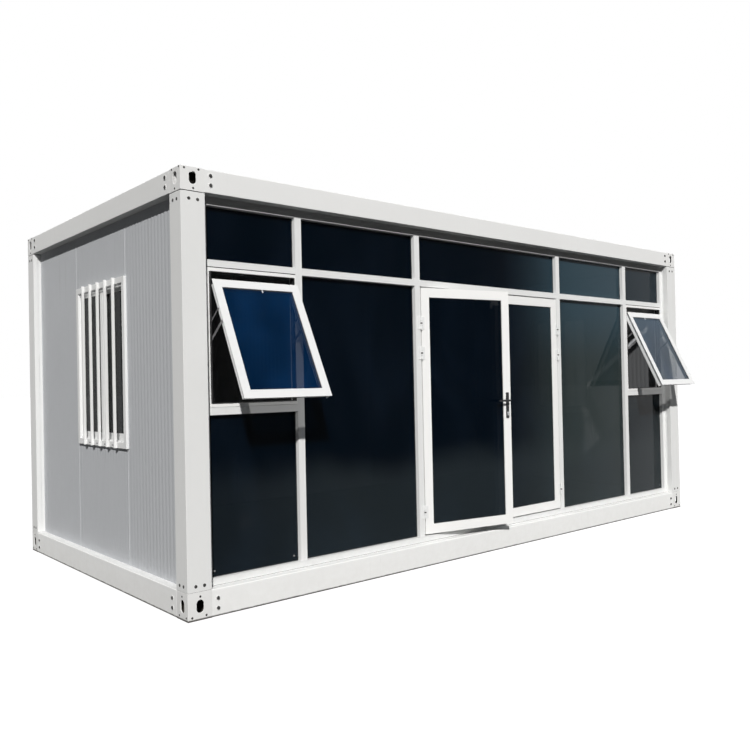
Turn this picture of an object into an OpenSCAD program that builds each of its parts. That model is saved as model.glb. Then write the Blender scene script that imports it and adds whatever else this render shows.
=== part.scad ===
// Glass-fronted flat-pack container cabin with a folded steel frame.
// +X runs along the front, the glazed front faces -Y, +Z is up, and the
// origin is at the middle of the footprint on the ground. Millimetres.

/* [Overall] */
// Length of the cabin along its glazed front
cabin_l = 5950; // [4900:10:7200]
// Depth of the cabin from the glazed front to the back
cabin_w = 3000; // [2500:10:3600]
// Height of the cabin from the ground to the top of the frame
cabin_h = 2800; // [2330:10:3400]

/* [Corner posts] */
// Width of a corner post across the front
post_x = 166; // [140:1:200]
// Width of a corner post across the end
post_y = 150; // [130:1:200]
// Depth of the folded lip behind each outer face of a post
post_lip = 38; // [20:1:60]
// How far the body of a post steps in behind its lip
post_step = 6; // [3:1:10]
// Thickness of the steel of a post
post_t = 4; // [3:0.5:8]

/* [Corner castings] */
// Thickness of the walls of a corner casting
casting_t = 8; // [5:0.5:12]
// Length of an oval slot in a casting
slot_l = 80; // [70:1:90]
// Width of an oval slot in a casting
slot_w = 50; // [40:1:60]
// Slot centre from the end of the cabin
slot_x = 84.5; // [78:0.5:92]
// Slot centre from the front or back of the cabin
slot_y = 73; // [68:0.5:80]
// Height of the slots in the bottom castings
slot_z_bottom = 86; // [70:1:95]
// Depth of the slots below the top of the frame
slot_z_top = 66; // [60:1:80]

/* [Beams] */
// Height of the bottom beams and castings
bottom_beam_h = 174; // [150:1:200]
// Height of the top beams and castings
top_beam_h = 148; // [130:1:200]
// Thickness of the steel of the beams
beam_t = 4; // [3:0.5:6]
// Depth of the flange that carries walls, floor and ceiling
beam_flange = 160; // [155:1:200]
// Depth of the foot flange of a bottom beam
beam_foot = 60; // [40:1:90]
// Width of the rim that a top beam folds in over the roof
rim_w = 50; // [30:1:70]
// Height of the fold under that rim
rim_fold = 20; // [10:1:30]

/* [Floor, roof and ceiling] */
// Thickness of the floor deck
deck_t = 18; // [12:1:24]
// Largest spacing of the floor joists
joist_pitch = 600; // [400:10:900]
// Width of a floor joist
joist_w = 50; // [40:1:80]
// Height of a floor joist
joist_h = 100; // [60:1:120]
// Largest spacing of the roof purlins
purlin_pitch = 800; // [500:10:1000]
// Width of a roof purlin
purlin_w = 40; // [30:1:60]
// Height of a roof purlin
purlin_h = 80; // [50:1:90]
// Thickness of the roof sheet
roof_t = 2; // [1:0.5:4]
// Largest spacing of the ribs in the roof sheet
rib_pitch = 250; // [200:10:400]
// Height of a rib in the roof sheet
rib_h = 25; // [15:1:35]
// Width of the top of a rib
rib_w = 40; // [30:1:60]
// Thickness of the ceiling sheet
ceiling_t = 8; // [6:0.5:20]

/* [Wall panels] */
// How far the wall panels sit behind the outer faces
wall_recess = 65; // [55:1:70]
// Thickness of a wall panel
wall_t = 75; // [50:1:80]
// Largest width of a back wall panel
back_panel_max = 960; // [900:10:1200]
// Joint left between neighbouring panels
panel_joint = 0.6; // [0.4:0.1:2]

/* [End windows] */
// Width of the window frame
window_w = 945; // [700:5:1100]
// Height of the window frame
window_h = 1235; // [900:5:1400]
// Top of the window frame below the underside of the top beam
window_drop = 412; // [250:1:450]
// Middle of the window from the middle of the end, towards the back
window_shift = -40; // [-45:1:45]
// Face width of the window frame
window_face = 44; // [35:1:60]
// How far the window frame stands out from the panel
window_proud = 20; // [10:1:30]
// Thickness of the window frame in the panel
window_depth = 60; // [50:1:70]
// Cover of the window frame over the edge of its hole
window_cover = 20; // [10:1:30]
// Width of the strip of its wall panel behind the window hole
window_margin = 62; // [40:1:120]
// Face width of the stiles of a sliding sash
slider_stile = 58; // [40:1:70]
// Face height of the top rail of a sliding sash
slider_head = 40; // [30:1:60]
// Face height of the bottom rail of a sliding sash
slider_foot = 56; // [30:1:70]
// Thickness of a sliding sash
slider_t = 25; // [20:1:28]
// Thickness of the glass in a sliding sash
slider_glass_t = 10; // [5:1:16]
// Gap between the two sliding sashes
slider_gap = 3; // [1:1:5]

/* [Glazed front] */
// How far the glazing frame sits behind the front
glazing_recess = 70; // [55:1:80]
// Thickness of the glazing frame
glazing_t = 60; // [50:1:65]
// Face height of the head of the glazing frame
head_h = 57; // [40:1:80]
// Face height of the sill of the glazing frame
sill_h = 46; // [30:1:80]
// Face width of the end jambs of the glazing frame
jamb_w = 60; // [40:1:80]
// Face width of the mullions
mullion_w = 55; // [40:1:80]
// Face height of the transoms
transom_h = 50; // [40:1:80]
// Clear width of the two end bays
end_bay_w = 671; // [550:1:850]
// Clear width of the middle bay with the doors
door_bay_w = 1779; // [1500:1:2150]
// Clear height of the top lights
top_light_h = 347; // [200:1:450]
// Thickness of the glass
glass_t = 20; // [12:1:24]
// How far the fixed glass sits behind the face of its frame
glass_setback = 35; // [20:1:38]
// Room around a pane or a framed insert in its opening
seat_gap = 0.3; // [0.2:0.1:0.5]

/* [Awning windows] */
// Height of the awning window frame
awning_h = 894; // [600:1:950]
// Face height of the head and foot of the awning window frame
awning_face = 26; // [20:1:40]
// Face width of the sides of the awning window frame
awning_side = 12; // [10:1:20]
// Width by which the sash passes the bay on each side
sash_over = 2.5; // [0:0.5:4]
// Cover of the sash over the head and foot of its frame
sash_cover = 7; // [4:0.5:15]
// Face width of the sash
sash_face = 58; // [45:1:70]
// Thickness of the sash
sash_t = 45; // [35:1:55]
// Thickness of the flange round the face of the sash
sash_flange_t = 12; // [8:1:16]
// Room for the stays between the sash and the side of its frame
stay_room = 14; // [12:1:18]
// Angle at which the sash stands open
sash_angle = 26; // [15:1:35]
// How far the top edge of the open sash stands out of its frame
sash_out = 18; // [16:1:25]
// How far the top edge of the open sash has dropped from its frame head
sash_drop = 48; // [30:1:60]
// Glass setback behind the face of a sash or a door
leaf_glass_setback = 10; // [5:1:15]

/* [Window stays] */
// Width of the broad stay arm
stay_broad = 18; // [12:1:22]
// Width of the slim stay arm
stay_slim = 10; // [6:1:14]
// Thickness of the stay arms and bars
stay_t = 3; // [2:0.5:4]
// Radius of the pins of a stay
stay_pin_r = 3.5; // [2:0.5:4]
// Depth of the stay track behind the face of its window frame
stay_back = 25; // [20:1:45]
// Depth of the stay's sash pivots behind the face of the sash
stay_in = 28; // [24:1:32]

/* [Doors] */
// Gap between a door leaf and the mullion beside it
leaf_side_gap = 7; // [6:0.5:10]
// Gap between the two closed door leaves
leaf_meet_gap = 8; // [7:0.5:12]
// Gap under a door leaf
leaf_foot_gap = 12; // [8:1:16]
// Gap over a door leaf
leaf_head_gap = 10; // [8:1:16]
// Thickness of a door leaf
leaf_t = 45; // [40:1:48]
// Face width of the stiles and rails of a door leaf
leaf_face = 76; // [60:1:100]
// Angle at which the left leaf stands open at rest
left_ajar = 11.5; // [0:0.5:45]
// Width of the stop behind the edges of the doors
stop_w = 15; // [10:1:20]
// Thickness of that stop
stop_t = 10; // [6:1:10]
// Gap between a closed door and that stop
stop_gap = 5; // [5:0.5:8]

/* [Door hinges] */
// Radius of a hinge knuckle
knuckle_r = 8; // [7:0.5:10]
// Radius of a hinge pin
hinge_pin_r = 4; // [3:0.5:5]
// Radial running clearance round a hinge pin
hinge_clear = 0.05; // [0.03:0.01:0.1]
// Height of a hinge
hinge_h = 100; // [80:1:120]
// Height of the middle knuckle of a hinge
knuckle_mid_h = 38; // [30:1:50]
// Gap above and below the middle knuckle
knuckle_gap = 1; // [0.5:0.1:2]
// Width of a hinge plate from the pin
hinge_plate_w = 32; // [25:1:40]
// Thickness of a hinge plate
hinge_plate_t = 3; // [2:0.5:4]
// Gap between a knuckle and the frame face behind it
knuckle_off = 0.5; // [0.3:0.1:1]
// Middle of the lowest hinge above the foot of the leaf
hinge_foot = 176; // [120:1:250]
// Middle of the two upper hinges below the top of the leaf
hinge_tops = [521, 284];

/* [Door handle] */
// Height of the lever above the ground
lever_z = 1268; // [950:1:1300]
// Height of the lock cylinder above the ground
lock_z = 1166; // [850:1:1200]
// Height of a handle plate
plate_h = 215; // [160:1:260]
// Width of a handle plate
plate_w = 28; // [24:1:40]
// Thickness of a handle plate
plate_t = 8; // [5:1:12]
// Lever above the middle of its plate
plate_lift = 40; // [20:1:60]
// Radius of the spindle and neck of the lever
spindle_r = 8; // [6:0.5:9]
// Radial running clearance round the spindle
spindle_clear = 0.05; // [0.03:0.01:0.1]
// Radius of the hole for the spindle through the door stile
spindle_hole_r = 11; // [10:0.5:12]
// Radius of the lock cylinder
lock_r = 8.5; // [7:0.5:10]
// Distance from the door face to the middle of the lever grip
grip_off = 50; // [40:1:60]
// Radius of the lever grip
grip_r = 9; // [7:0.5:10]
// Length of the lever grip from the spindle
grip_l = 120; // [90:1:140]

/* [Hidden] */
eps = 0.01;

hl = cabin_l / 2;
hw = cabin_w / 2;
wall_z0 = bottom_beam_h;
wall_z1 = cabin_h - top_beam_h;
wall_in = wall_recess + wall_t;
body_x = post_x - post_step;
body_y = post_y - post_step;
end_sides = [-1, 1];

// Glazed front: edges of the five bays and the levels of the bars
front_y = -hw + glazing_recess;
bay_out = hl - body_x - jamb_w;
bay_in = bay_out - end_bay_w;
door_half = door_bay_w / 2;
bays = [
    [-bay_out, -bay_in],
    [-bay_in + mullion_w, -door_half - mullion_w],
    [-door_half, door_half],
    [door_half + mullion_w, bay_in - mullion_w],
    [bay_in, bay_out]
];
end_bays = [bays[0], bays[4]];
wide_bays = [bays[1], bays[3]];
sill_z = wall_z0 + sill_h;
head_z = wall_z1 - head_h;
transom_z1 = head_z - top_light_h;
transom_z0 = transom_z1 - transom_h;
awning_z0 = transom_z0 - awning_h;
low_transom_z0 = awning_z0 - transom_h;

// Awning sash: the open sash hangs from a line across its bay
sash_w = end_bay_w + 2 * sash_over;
sash_h = awning_h - 2 * awning_face + 2 * sash_cover;
sash_top_z = transom_z0 - awning_face - sash_drop;
awning_in_w = end_bay_w - 2 * awning_side;
awning_in_h = awning_h - 2 * awning_face;
sash_body_w = awning_in_w - 2 * stay_room;
sash_body_h = awning_in_h - 2 * stay_room;

// Drops of the stay pivots, and of the ends of the track and the sash bar beyond them
stay_sash_drops = [300, 205];
stay_frame_drops = [402, 284];
stay_widths = [stay_broad, stay_slim];
stay_track_ends = [40, 190];
stay_bar_end = 38;

// Doors
leaf_hinge_x = door_half - leaf_side_gap;
leaf_w = leaf_hinge_x - leaf_meet_gap / 2;
leaf_z0 = sill_z + leaf_foot_gap;
leaf_z1 = transom_z0 - leaf_head_gap;
leaf_h = leaf_z1 - leaf_z0;
hinge_x = door_half - knuckle_off;
hinge_y = front_y - knuckle_r - knuckle_off;
hinge_zs = [leaf_z0 + hinge_foot, leaf_z1 - hinge_tops[0], leaf_z1 - hinge_tops[1]];
handle_x = leaf_meet_gap / 2 + leaf_face / 2;
knuckle_cut = hinge_pin_r + hinge_clear;
plate_z0 = lever_z - plate_lift - plate_h / 2;

// End windows
window_z1 = wall_z1 - window_drop;
window_z0 = window_z1 - window_h;
window_hole_w = window_w - 2 * window_cover;
window_hole_h = window_h - 2 * window_cover;
window_in_w = window_w - 2 * window_face;
window_in_h = window_h - 2 * window_face;
slider_w = (window_in_w + slider_stile) / 2;
slider_faces = [slider_stile, slider_foot, slider_head];
window_y0 = window_shift - window_hole_w / 2;
window_y1 = window_shift + window_hole_w / 2;

back_span = 2 * (hl - body_x);
back_count = ceil(back_span / back_panel_max);
joist_count = ceil((cabin_l - 2 * post_x) / joist_pitch);
purlin_count = ceil((cabin_l - 2 * post_x) / purlin_pitch);
rib_span = cabin_l - 2 * post_x - 2 * rib_w;
rib_count = floor(rib_span / rib_pitch);

steel_white = [0.90, 0.91, 0.90];
panel_grey = [0.80, 0.82, 0.83];
frame_white = [0.95, 0.95, 0.95];
glass_dark = [0.08, 0.12, 0.18];
handle_black = [0.05, 0.05, 0.05];

// A corner of the cabin: x runs in along the length, y in along the depth
module at_corner(x_side, y_side) {
    translate([x_side * hl, y_side * hw, 0])
        mirror([max(x_side, 0), 0, 0])
            mirror([0, max(y_side, 0), 0])
                children();
}

module at_corners() {
    for (x_side = end_sides, y_side = end_sides)
        at_corner(x_side, y_side) children();
}

// An end of the cabin: x runs in from its outer face, y keeps the cabin's own
module at_end(x_side) {
    translate([x_side * hl, 0, 0])
        mirror([max(x_side, 0), 0, 0])
            children();
}

// A profile drawn as [depth, height], run along the cabin or along its end
module run_x(length) {
    rotate([90, 0, 90]) linear_extrude(length, center = true) children();
}

module run_y(length) {
    rotate([90, 0, 0]) linear_extrude(length, center = true) children();
}

// A box from its low corner to its high corner
module block(low, high) {
    translate(low) cube(high - low);
}

// A frame standing in the XZ plane, centred on x = 0 and resting on z = 0.
// faces gives the face of its sides, its foot and its head.
module ring(width, height, faces, depth) {
    difference() {
        translate([-width / 2, 0, 0]) cube([width, depth, height]);
        translate([-width / 2 + faces[0], -eps, faces[1]])
            cube([width - 2 * faces[0], depth + 2 * eps, height - faces[1] - faces[2]]);
    }
}

function even(face) = [face, face, face];

// A rectangular sheet that leaves room for the four corner posts
module notched_sheet(half_x, half_y, post_room_x, post_room_y, z0, thickness) {
    difference() {
        block([-half_x, half_y[0], z0], [half_x, half_y[1], z0 + thickness]);
        at_corners()
            translate([-eps, -eps, z0 - eps])
                cube([post_room_x, post_room_y, thickness + rib_h + 2 * eps]);
    }
}

module oval_cut(length, width, depth) {
    for (end = end_sides)
        translate([end * (length - width) / 2, 0, 0])
            cylinder(d = width, h = depth, center = true, $fn = 48);
    cube([length - width, width, depth], center = true);
}

module post_section() {
    difference() {
        union() {
            square([post_x, post_lip]);
            square([post_lip, post_y]);
            square([body_x, body_y]);
        }
        translate([post_t, post_t])
            square([body_x - 2 * post_t, body_y - 2 * post_t]);
    }
}

module corner_posts() {
    color(steel_white)
        at_corners()
            translate([0, 0, wall_z0])
                linear_extrude(wall_z1 - wall_z0) post_section();
}

// A casting is a hollow box with an oval slot in each outer face
module casting(height, slot_z, cap_z) {
    wall = casting_t;
    difference() {
        cube([post_x, post_y, height]);
        translate([wall, wall, wall])
            cube([post_x - 2 * wall, post_y - 2 * wall, height - 2 * wall]);
        translate([slot_x, 0, slot_z])
            rotate([90, 90, 0]) oval_cut(slot_l, slot_w, 3 * wall);
        translate([0, slot_y, slot_z])
            rotate([0, 90, 0]) oval_cut(slot_l, slot_w, 3 * wall);
        translate([slot_x, slot_y, cap_z])
            oval_cut(slot_l, slot_w, 3 * wall);
    }
}

module bottom_castings() {
    color(steel_white)
        at_corners() casting(bottom_beam_h, slot_z_bottom, 0);
}

module top_castings() {
    color(steel_white)
        at_corners()
            translate([0, 0, wall_z1])
                casting(top_beam_h, top_beam_h - slot_z_top, top_beam_h);
}

// Bottom beam: a channel with a deep top flange and a short foot
module bottom_beam_section() {
    square([beam_t, bottom_beam_h]);
    square([beam_foot, beam_t]);
    translate([0, bottom_beam_h - beam_t]) square([beam_flange, beam_t]);
}

// Top beam: a channel with a deep bottom flange and a folded rim over the roof
module top_beam_section() {
    square([beam_t, top_beam_h]);
    square([beam_flange, beam_t]);
    translate([0, top_beam_h - beam_t]) square([rim_w, beam_t]);
    translate([rim_w - beam_t, top_beam_h - rim_fold]) square([beam_t, rim_fold]);
}

module long_pair(z0) {
    for (side = end_sides)
        mirror([0, max(side, 0), 0])
            translate([0, -hw, z0])
                run_x(cabin_l - 2 * post_x) children();
}

module end_pair(z0) {
    for (side = end_sides)
        mirror([max(side, 0), 0, 0])
            translate([-hl, 0, z0])
                run_y(cabin_w - 2 * post_y) children();
}

module bottom_long_beams() {
    color(steel_white) long_pair(0) bottom_beam_section();
}

module bottom_end_beams() {
    color(steel_white) end_pair(0) bottom_beam_section();
}

module top_long_beams() {
    color(steel_white) long_pair(wall_z1) top_beam_section();
}

module top_end_beams() {
    color(steel_white) end_pair(wall_z1) top_beam_section();
}

// Joists hang under the flanges of the long beams and rise between them
module floor_joists() {
    step = (cabin_l - 2 * post_x) / joist_count;
    top = bottom_beam_h;
    color(steel_white)
        for (i = [1:joist_count - 1])
            translate([-hl + post_x + i * step, 0, 0]) {
                block([-joist_w / 2, -hw + beam_t, top - joist_h],
                      [joist_w / 2, hw - beam_t, top - beam_t]);
                block([-joist_w / 2, -hw + beam_flange, top - beam_t - eps],
                      [joist_w / 2, hw - beam_flange, top]);
            }
}

module floor_deck() {
    color("silver")
        notched_sheet(hl - wall_in - seat_gap,
                      [-hw + glazing_recess + glazing_t + seat_gap, hw - wall_in - seat_gap],
                      body_x + seat_gap, body_y + seat_gap, wall_z0, deck_t);
}

module roof_purlins() {
    step = (cabin_l - 2 * post_x) / purlin_count;
    z0 = wall_z1 + beam_t;
    color(steel_white)
        for (i = [1:purlin_count - 1])
            translate([-hl + post_x + i * step, 0, 0])
                block([-purlin_w / 2, -hw + beam_t + seat_gap, z0],
                      [purlin_w / 2, hw - beam_t - seat_gap, z0 + purlin_h]);
}

// Outline of the ribbed roof sheet: down each rib on top, back along the underside
function rib_points(x, z) = [
    [x - rib_w, z], [x - rib_w / 2, z + rib_h], [x + rib_w / 2, z + rib_h], [x + rib_w, z]
];

module roof_sheet() {
    half_x = hl - beam_t - seat_gap;
    step = rib_span / rib_count;
    z0 = wall_z1 + beam_t + purlin_h;
    ribs = [for (i = [0:rib_count]) each rib_points(-rib_span / 2 + i * step, 0)];
    under = [for (p = ribs) [p[0], p[1]]];
    over = [for (i = [len(ribs) - 1:-1:0]) [ribs[i][0], ribs[i][1] + roof_t]];
    outline = concat([[-half_x, 0]], under, [[half_x, 0], [half_x, roof_t]], over,
                     [[-half_x, roof_t]]);
    color(steel_white)
        difference() {
            translate([0, 0, z0])
                run_y(cabin_w - 2 * (beam_t + seat_gap)) polygon(outline);
            at_corners()
                translate([-eps, -eps, z0 - eps])
                    cube([post_x + 1, post_y + 1, roof_t + rib_h + 1]);
        }
}

module ceiling_sheet() {
    color(frame_white)
        notched_sheet(hl - wall_in - seat_gap,
                      [-hw + glazing_recess + glazing_t + seat_gap, hw - wall_in - seat_gap],
                      body_x + seat_gap, body_y + seat_gap, wall_z1 - ceiling_t, ceiling_t);
}

// End wall: plain panels on each side of one that the window hole is cut from.
// The hole begins at that panel's front joint, so the front panel closes it.
module end_side_panels(x_side) {
    color(panel_grey)
        at_end(x_side) {
            block([wall_recess, -hw + body_y, wall_z0],
                  [wall_in, window_y0 - panel_joint, wall_z1]);
            block([wall_recess, window_y1 + window_margin + panel_joint, wall_z0],
                  [wall_in, hw - body_y, wall_z1]);
        }
}

module end_window_panel(x_side) {
    color(panel_grey)
        at_end(x_side)
            difference() {
                block([wall_recess, window_y0, wall_z0],
                      [wall_in, window_y1 + window_margin, wall_z1]);
                block([wall_recess - 1, window_y0 - 1, window_z0 + window_cover],
                      [wall_in + 1, window_y1, window_z1 - window_cover]);
            }
}

module left_wall_side_panels() {
    end_side_panels(-1);
}

module left_wall_window_panel() {
    end_window_panel(-1);
}

module right_wall_side_panels() {
    end_side_panels(1);
}

module right_wall_window_panel() {
    end_window_panel(1);
}

module back_wall_panels() {
    pitch = back_span / back_count;
    panel_w = pitch - panel_joint;
    color(panel_grey)
        for (i = [0:back_count - 1])
            translate([(i + 0.5) * pitch - back_span / 2 - panel_w / 2, hw - wall_in, wall_z0])
                cube([panel_w, wall_t, wall_z1 - wall_z0]);
}

// A window in an end wall: x along the opening, y inwards from the frame's face
module at_windows() {
    for (x_side = end_sides)
        at_end(x_side)
            translate([wall_recess - window_proud, window_shift, window_z0])
                rotate([0, 0, -90])
                    children();
}

module end_window_frames() {
    cover = window_cover + seat_gap;
    color(frame_white)
        at_windows() {
            ring(window_w, window_h, even(window_face), window_proud);
            translate([0, window_proud - eps, cover])
                ring(window_w - 2 * cover, window_h - 2 * cover,
                     even(window_face - cover), window_depth + eps);
        }
}

// Two sliding sashes pass each other, the back one outside the front one
module at_sliders() {
    for (side = end_sides) {
        shift = side * (window_in_w - slider_w) / 2;
        depth = window_proud + (side < 0 ? 0 : slider_t + slider_gap);
        translate([shift, depth, window_face]) children();
    }
}

module end_window_sashes() {
    gap = seat_gap;
    color(frame_white)
        at_windows() at_sliders()
            translate([0, 0, gap])
                ring(slider_w - 2 * gap, window_in_h - 2 * gap, slider_faces, slider_t);
}

module end_window_panes() {
    gap = seat_gap;
    side = slider_stile + 2 * gap;
    low = slider_foot + 2 * gap;
    color(glass_dark)
        at_windows() at_sliders()
            translate([-slider_w / 2 + side, (slider_t - slider_glass_t) / 2, low])
                cube([slider_w - 2 * side, slider_glass_t,
                      window_in_h - low - slider_head - 2 * gap]);
}

module front_bar(x0, x1, z0, z1) {
    block([x0, front_y, z0], [x1, front_y + glazing_t, z1]);
}

module glazing_head() {
    color(frame_white) front_bar(-hl + body_x, hl - body_x, head_z, wall_z1);
}

module glazing_sill() {
    color(frame_white) front_bar(-hl + body_x, hl - body_x, wall_z0, sill_z);
}

module glazing_jambs() {
    color(frame_white) {
        front_bar(-bay_out - jamb_w, -bay_out, sill_z, head_z);
        front_bar(bay_out, bay_out + jamb_w, sill_z, head_z);
    }
}

module glazing_mullions() {
    color(frame_white)
        for (i = [0:len(bays) - 2])
            front_bar(bays[i][1], bays[i + 1][0], sill_z, head_z);
}

module glazing_transoms() {
    color(frame_white) {
        for (bay = bays)
            front_bar(bay[0], bay[1], transom_z0, transom_z1);
        for (bay = end_bays)
            front_bar(bay[0], bay[1], low_transom_z0, awning_z0);
    }
}

module front_pane(bay, z0, z1) {
    y0 = front_y + glass_setback;
    gap = seat_gap;
    block([bay[0] + gap, y0, z0 + gap], [bay[1] - gap, y0 + glass_t, z1 - gap]);
}

module top_light_panes() {
    color(glass_dark)
        for (bay = bays)
            front_pane(bay, transom_z1, head_z);
}

module fixed_panes() {
    color(glass_dark) {
        for (bay = end_bays)
            front_pane(bay, sill_z, low_transom_z0);
        for (bay = wide_bays)
            front_pane(bay, sill_z, transom_z0);
    }
}

// Awning windows, one in each end bay
module at_awnings() {
    for (bay = end_bays)
        translate([(bay[0] + bay[1]) / 2, 0, 0]) children();
}

// The open sash: y inwards from its face, z up from its foot
module at_sashes() {
    at_awnings()
        translate([0, front_y - sash_out, sash_top_z])
            rotate([-sash_angle, 0, 0])
                translate([0, 0, -sash_h])
                    children();
}

module awning_frames() {
    color(frame_white)
        at_awnings()
            translate([0, front_y, awning_z0])
                difference() {
                    translate([-end_bay_w / 2 + seat_gap, 0, 0])
                        cube([end_bay_w - 2 * seat_gap, glazing_t, awning_h]);
                    translate([-awning_in_w / 2, -eps, awning_face])
                        cube([awning_in_w, glazing_t + 2 * eps, awning_in_h]);
                }
}

module awning_sashes() {
    side = (sash_w - sash_body_w) / 2;
    rise = (sash_h - sash_body_h) / 2;
    color(frame_white)
        at_sashes()
            difference() {
                union() {
                    translate([-sash_w / 2, 0, 0]) cube([sash_w, sash_flange_t, sash_h]);
                    translate([-sash_w / 2 + side, 0, rise])
                        cube([sash_body_w, sash_t, sash_body_h]);
                }
                translate([-sash_w / 2 + sash_face, -eps, sash_face])
                    cube([sash_w - 2 * sash_face, sash_t + 2 * eps, sash_h - 2 * sash_face]);
            }
}

module awning_panes() {
    inset = sash_face + seat_gap;
    color(glass_dark)
        at_sashes()
            translate([-sash_w / 2 + inset, leaf_glass_setback, inset])
                cube([sash_w - 2 * inset, glass_t, sash_h - 2 * inset]);
}

// Pivot on the open sash as [y, z] from its frame's face and its own top edge,
// for a drop measured down the sash
function on_sash(drop) = [
    -sash_out + stay_in * cos(sash_angle) - drop * sin(sash_angle),
    -stay_in * sin(sash_angle) - drop * cos(sash_angle)
];

// A flat arm in the YZ plane that reaches past the pivots at its two ends
module stay_arm(from, to, width, reach) {
    run = to - from;
    translate([0, from[0], from[1]])
        rotate([atan2(run[1], run[0]), 0, 0])
            translate([0, -reach, -width / 2])
                cube([stay_t, norm(run) + 2 * reach, width]);
}

module stay_pin(pivot) {
    translate([0, pivot[0], pivot[1]])
        rotate([0, 90, 0])
            cylinder(r = stay_pin_r, h = stay_room / 2, $fn = 24);
}

// One stay fills the gap beside the sash: a track, two arms and a sash bar
module stay() {
    mid = (stay_room - stay_t) / 2;
    z0 = -stay_frame_drops[0] - stay_track_ends[0];
    z1 = -stay_frame_drops[1] + stay_track_ends[1];
    translate([seat_gap, stay_back - stay_broad / 2, z0])
        cube([stay_t, stay_broad, z1 - z0]);
    translate([stay_room - stay_t - seat_gap, 0, 0])
        stay_arm(on_sash(stay_sash_drops[0]), on_sash(stay_sash_drops[1]),
                 stay_broad, stay_bar_end);
    for (i = [0, 1]) {
        on_frame = [stay_back, -stay_frame_drops[i]];
        on_leaf = on_sash(stay_sash_drops[i]);
        translate([mid, 0, 0])
            stay_arm(on_frame, on_leaf, stay_widths[i], stay_widths[i] / 2);
        translate([seat_gap + stay_t / 2, 0, 0]) stay_pin(on_frame);
        translate([(stay_room - stay_t) / 2 + 1, 0, 0]) stay_pin(on_leaf);
    }
}

module awning_stays() {
    color("silver")
        at_awnings()
            for (side = [0, 1])
                mirror([side, 0, 0])
                    translate([-awning_in_w / 2, front_y, sash_top_z])
                        stay();
}

// Stop strip behind the edges of the doors, up one side, across and down the other
module door_stop() {
    y0 = front_y + leaf_t + stop_gap;
    color(frame_white)
        difference() {
            block([-door_half + seat_gap, y0, sill_z], [door_half - seat_gap, y0 + stop_t, transom_z0]);
            block([-door_half + stop_w, y0 - eps, sill_z - eps],
                  [door_half - stop_w, y0 + stop_t + eps, transom_z0 - stop_w]);
        }
}

// Everything on the left leaf is drawn closed and then turned about its hinge
module ajar() {
    translate([-hinge_x, hinge_y, 0])
        rotate([0, 0, -left_ajar])
            translate([hinge_x, -hinge_y, 0])
                children();
}

module leaf_frame() {
    translate([-leaf_hinge_x + leaf_w / 2, front_y, leaf_z0])
        ring(leaf_w, leaf_h, even(leaf_face), leaf_t);
}

module leaf_pane() {
    inset = leaf_face + seat_gap;
    translate([-leaf_hinge_x + inset, front_y + leaf_glass_setback, leaf_z0 + inset])
        cube([leaf_w - 2 * inset, glass_t, leaf_h - 2 * inset]);
}

// Middle knuckle of each hinge with the plate that it carries on the leaf
module leaf_hinge_set() {
    for (z = hinge_zs)
        translate([-hinge_x, hinge_y, z])
            difference() {
                union() {
                    cylinder(r = knuckle_r, h = knuckle_mid_h, center = true, $fn = 48);
                    translate([0, knuckle_r + knuckle_off - hinge_plate_t, -knuckle_mid_h / 2])
                        cube([hinge_plate_w, hinge_plate_t, knuckle_mid_h]);
                    translate([knuckle_r + 2 * knuckle_off,
                               knuckle_r + knuckle_off - hinge_plate_t, -hinge_h / 2])
                        cube([hinge_plate_w - knuckle_r - 2 * knuckle_off,
                              hinge_plate_t, hinge_h]);
                }
                cylinder(r = knuckle_cut, h = hinge_h, center = true, $fn = 48);
            }
}

// Pin, outer knuckles and frame plate of each hinge on the left mullion
module frame_hinge_set() {
    end_h = (hinge_h - knuckle_mid_h) / 2 - knuckle_gap;
    plate_y = knuckle_r + knuckle_off - hinge_plate_t;
    for (z = hinge_zs)
        translate([-hinge_x, hinge_y, z]) {
            cylinder(r = hinge_pin_r, h = hinge_h, center = true, $fn = 48);
            for (end = end_sides)
                translate([0, 0, end * (hinge_h - end_h) / 2]) {
                    cylinder(r = knuckle_r, h = end_h, center = true, $fn = 48);
                    translate([-hinge_plate_w, plate_y, -end_h / 2])
                        cube([hinge_plate_w, hinge_plate_t, end_h]);
                }
            translate([-hinge_plate_w, plate_y, -hinge_h / 2])
                cube([hinge_plate_w - knuckle_r - 2 * knuckle_off, hinge_plate_t, hinge_h]);
        }
}

module frame_hinges() {
    color(frame_white) {
        frame_hinge_set();
        mirror([1, 0, 0]) frame_hinge_set();
    }
}

module spindle_hole(radius) {
    translate([-handle_x, front_y + leaf_t / 2, lever_z])
        rotate([90, 0, 0])
            cylinder(r = radius, h = 2 * leaf_t, center = true, $fn = 48);
}

module left_door_leaf() {
    color(frame_white)
        ajar()
            difference() {
                leaf_frame();
                spindle_hole(spindle_hole_r);
            }
}

module left_door_glass() {
    color(glass_dark) ajar() leaf_pane();
}

module left_door_hinges() {
    color(frame_white) ajar() leaf_hinge_set();
}

module right_door_leaf() {
    color(frame_white) mirror([1, 0, 0]) leaf_frame();
}

module right_door_glass() {
    color(glass_dark) mirror([1, 0, 0]) leaf_pane();
}

module right_door_hinges() {
    color(frame_white) mirror([1, 0, 0]) leaf_hinge_set();
}

// A plate on each face of the stile, with the end of the lock cylinder on it
module handle_plates() {
    color(handle_black)
        ajar()
            difference() {
                for (y0 = [front_y - plate_t, front_y + leaf_t]) {
                    block([-handle_x - plate_w / 2, y0, plate_z0],
                          [-handle_x + plate_w / 2, y0 + plate_t, plate_z0 + plate_h]);
                    translate([-handle_x, y0 + plate_t / 2, lock_z])
                        rotate([90, 0, 0])
                            cylinder(r = lock_r, h = 2 * plate_t - 4, center = true, $fn = 48);
                }
                spindle_hole(spindle_r + spindle_clear);
                translate([-handle_x - lock_r - eps, front_y, lock_z - lock_r - eps])
                    cube([2 * (lock_r + eps), leaf_t, 2 * (lock_r + eps)]);
            }
}

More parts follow.
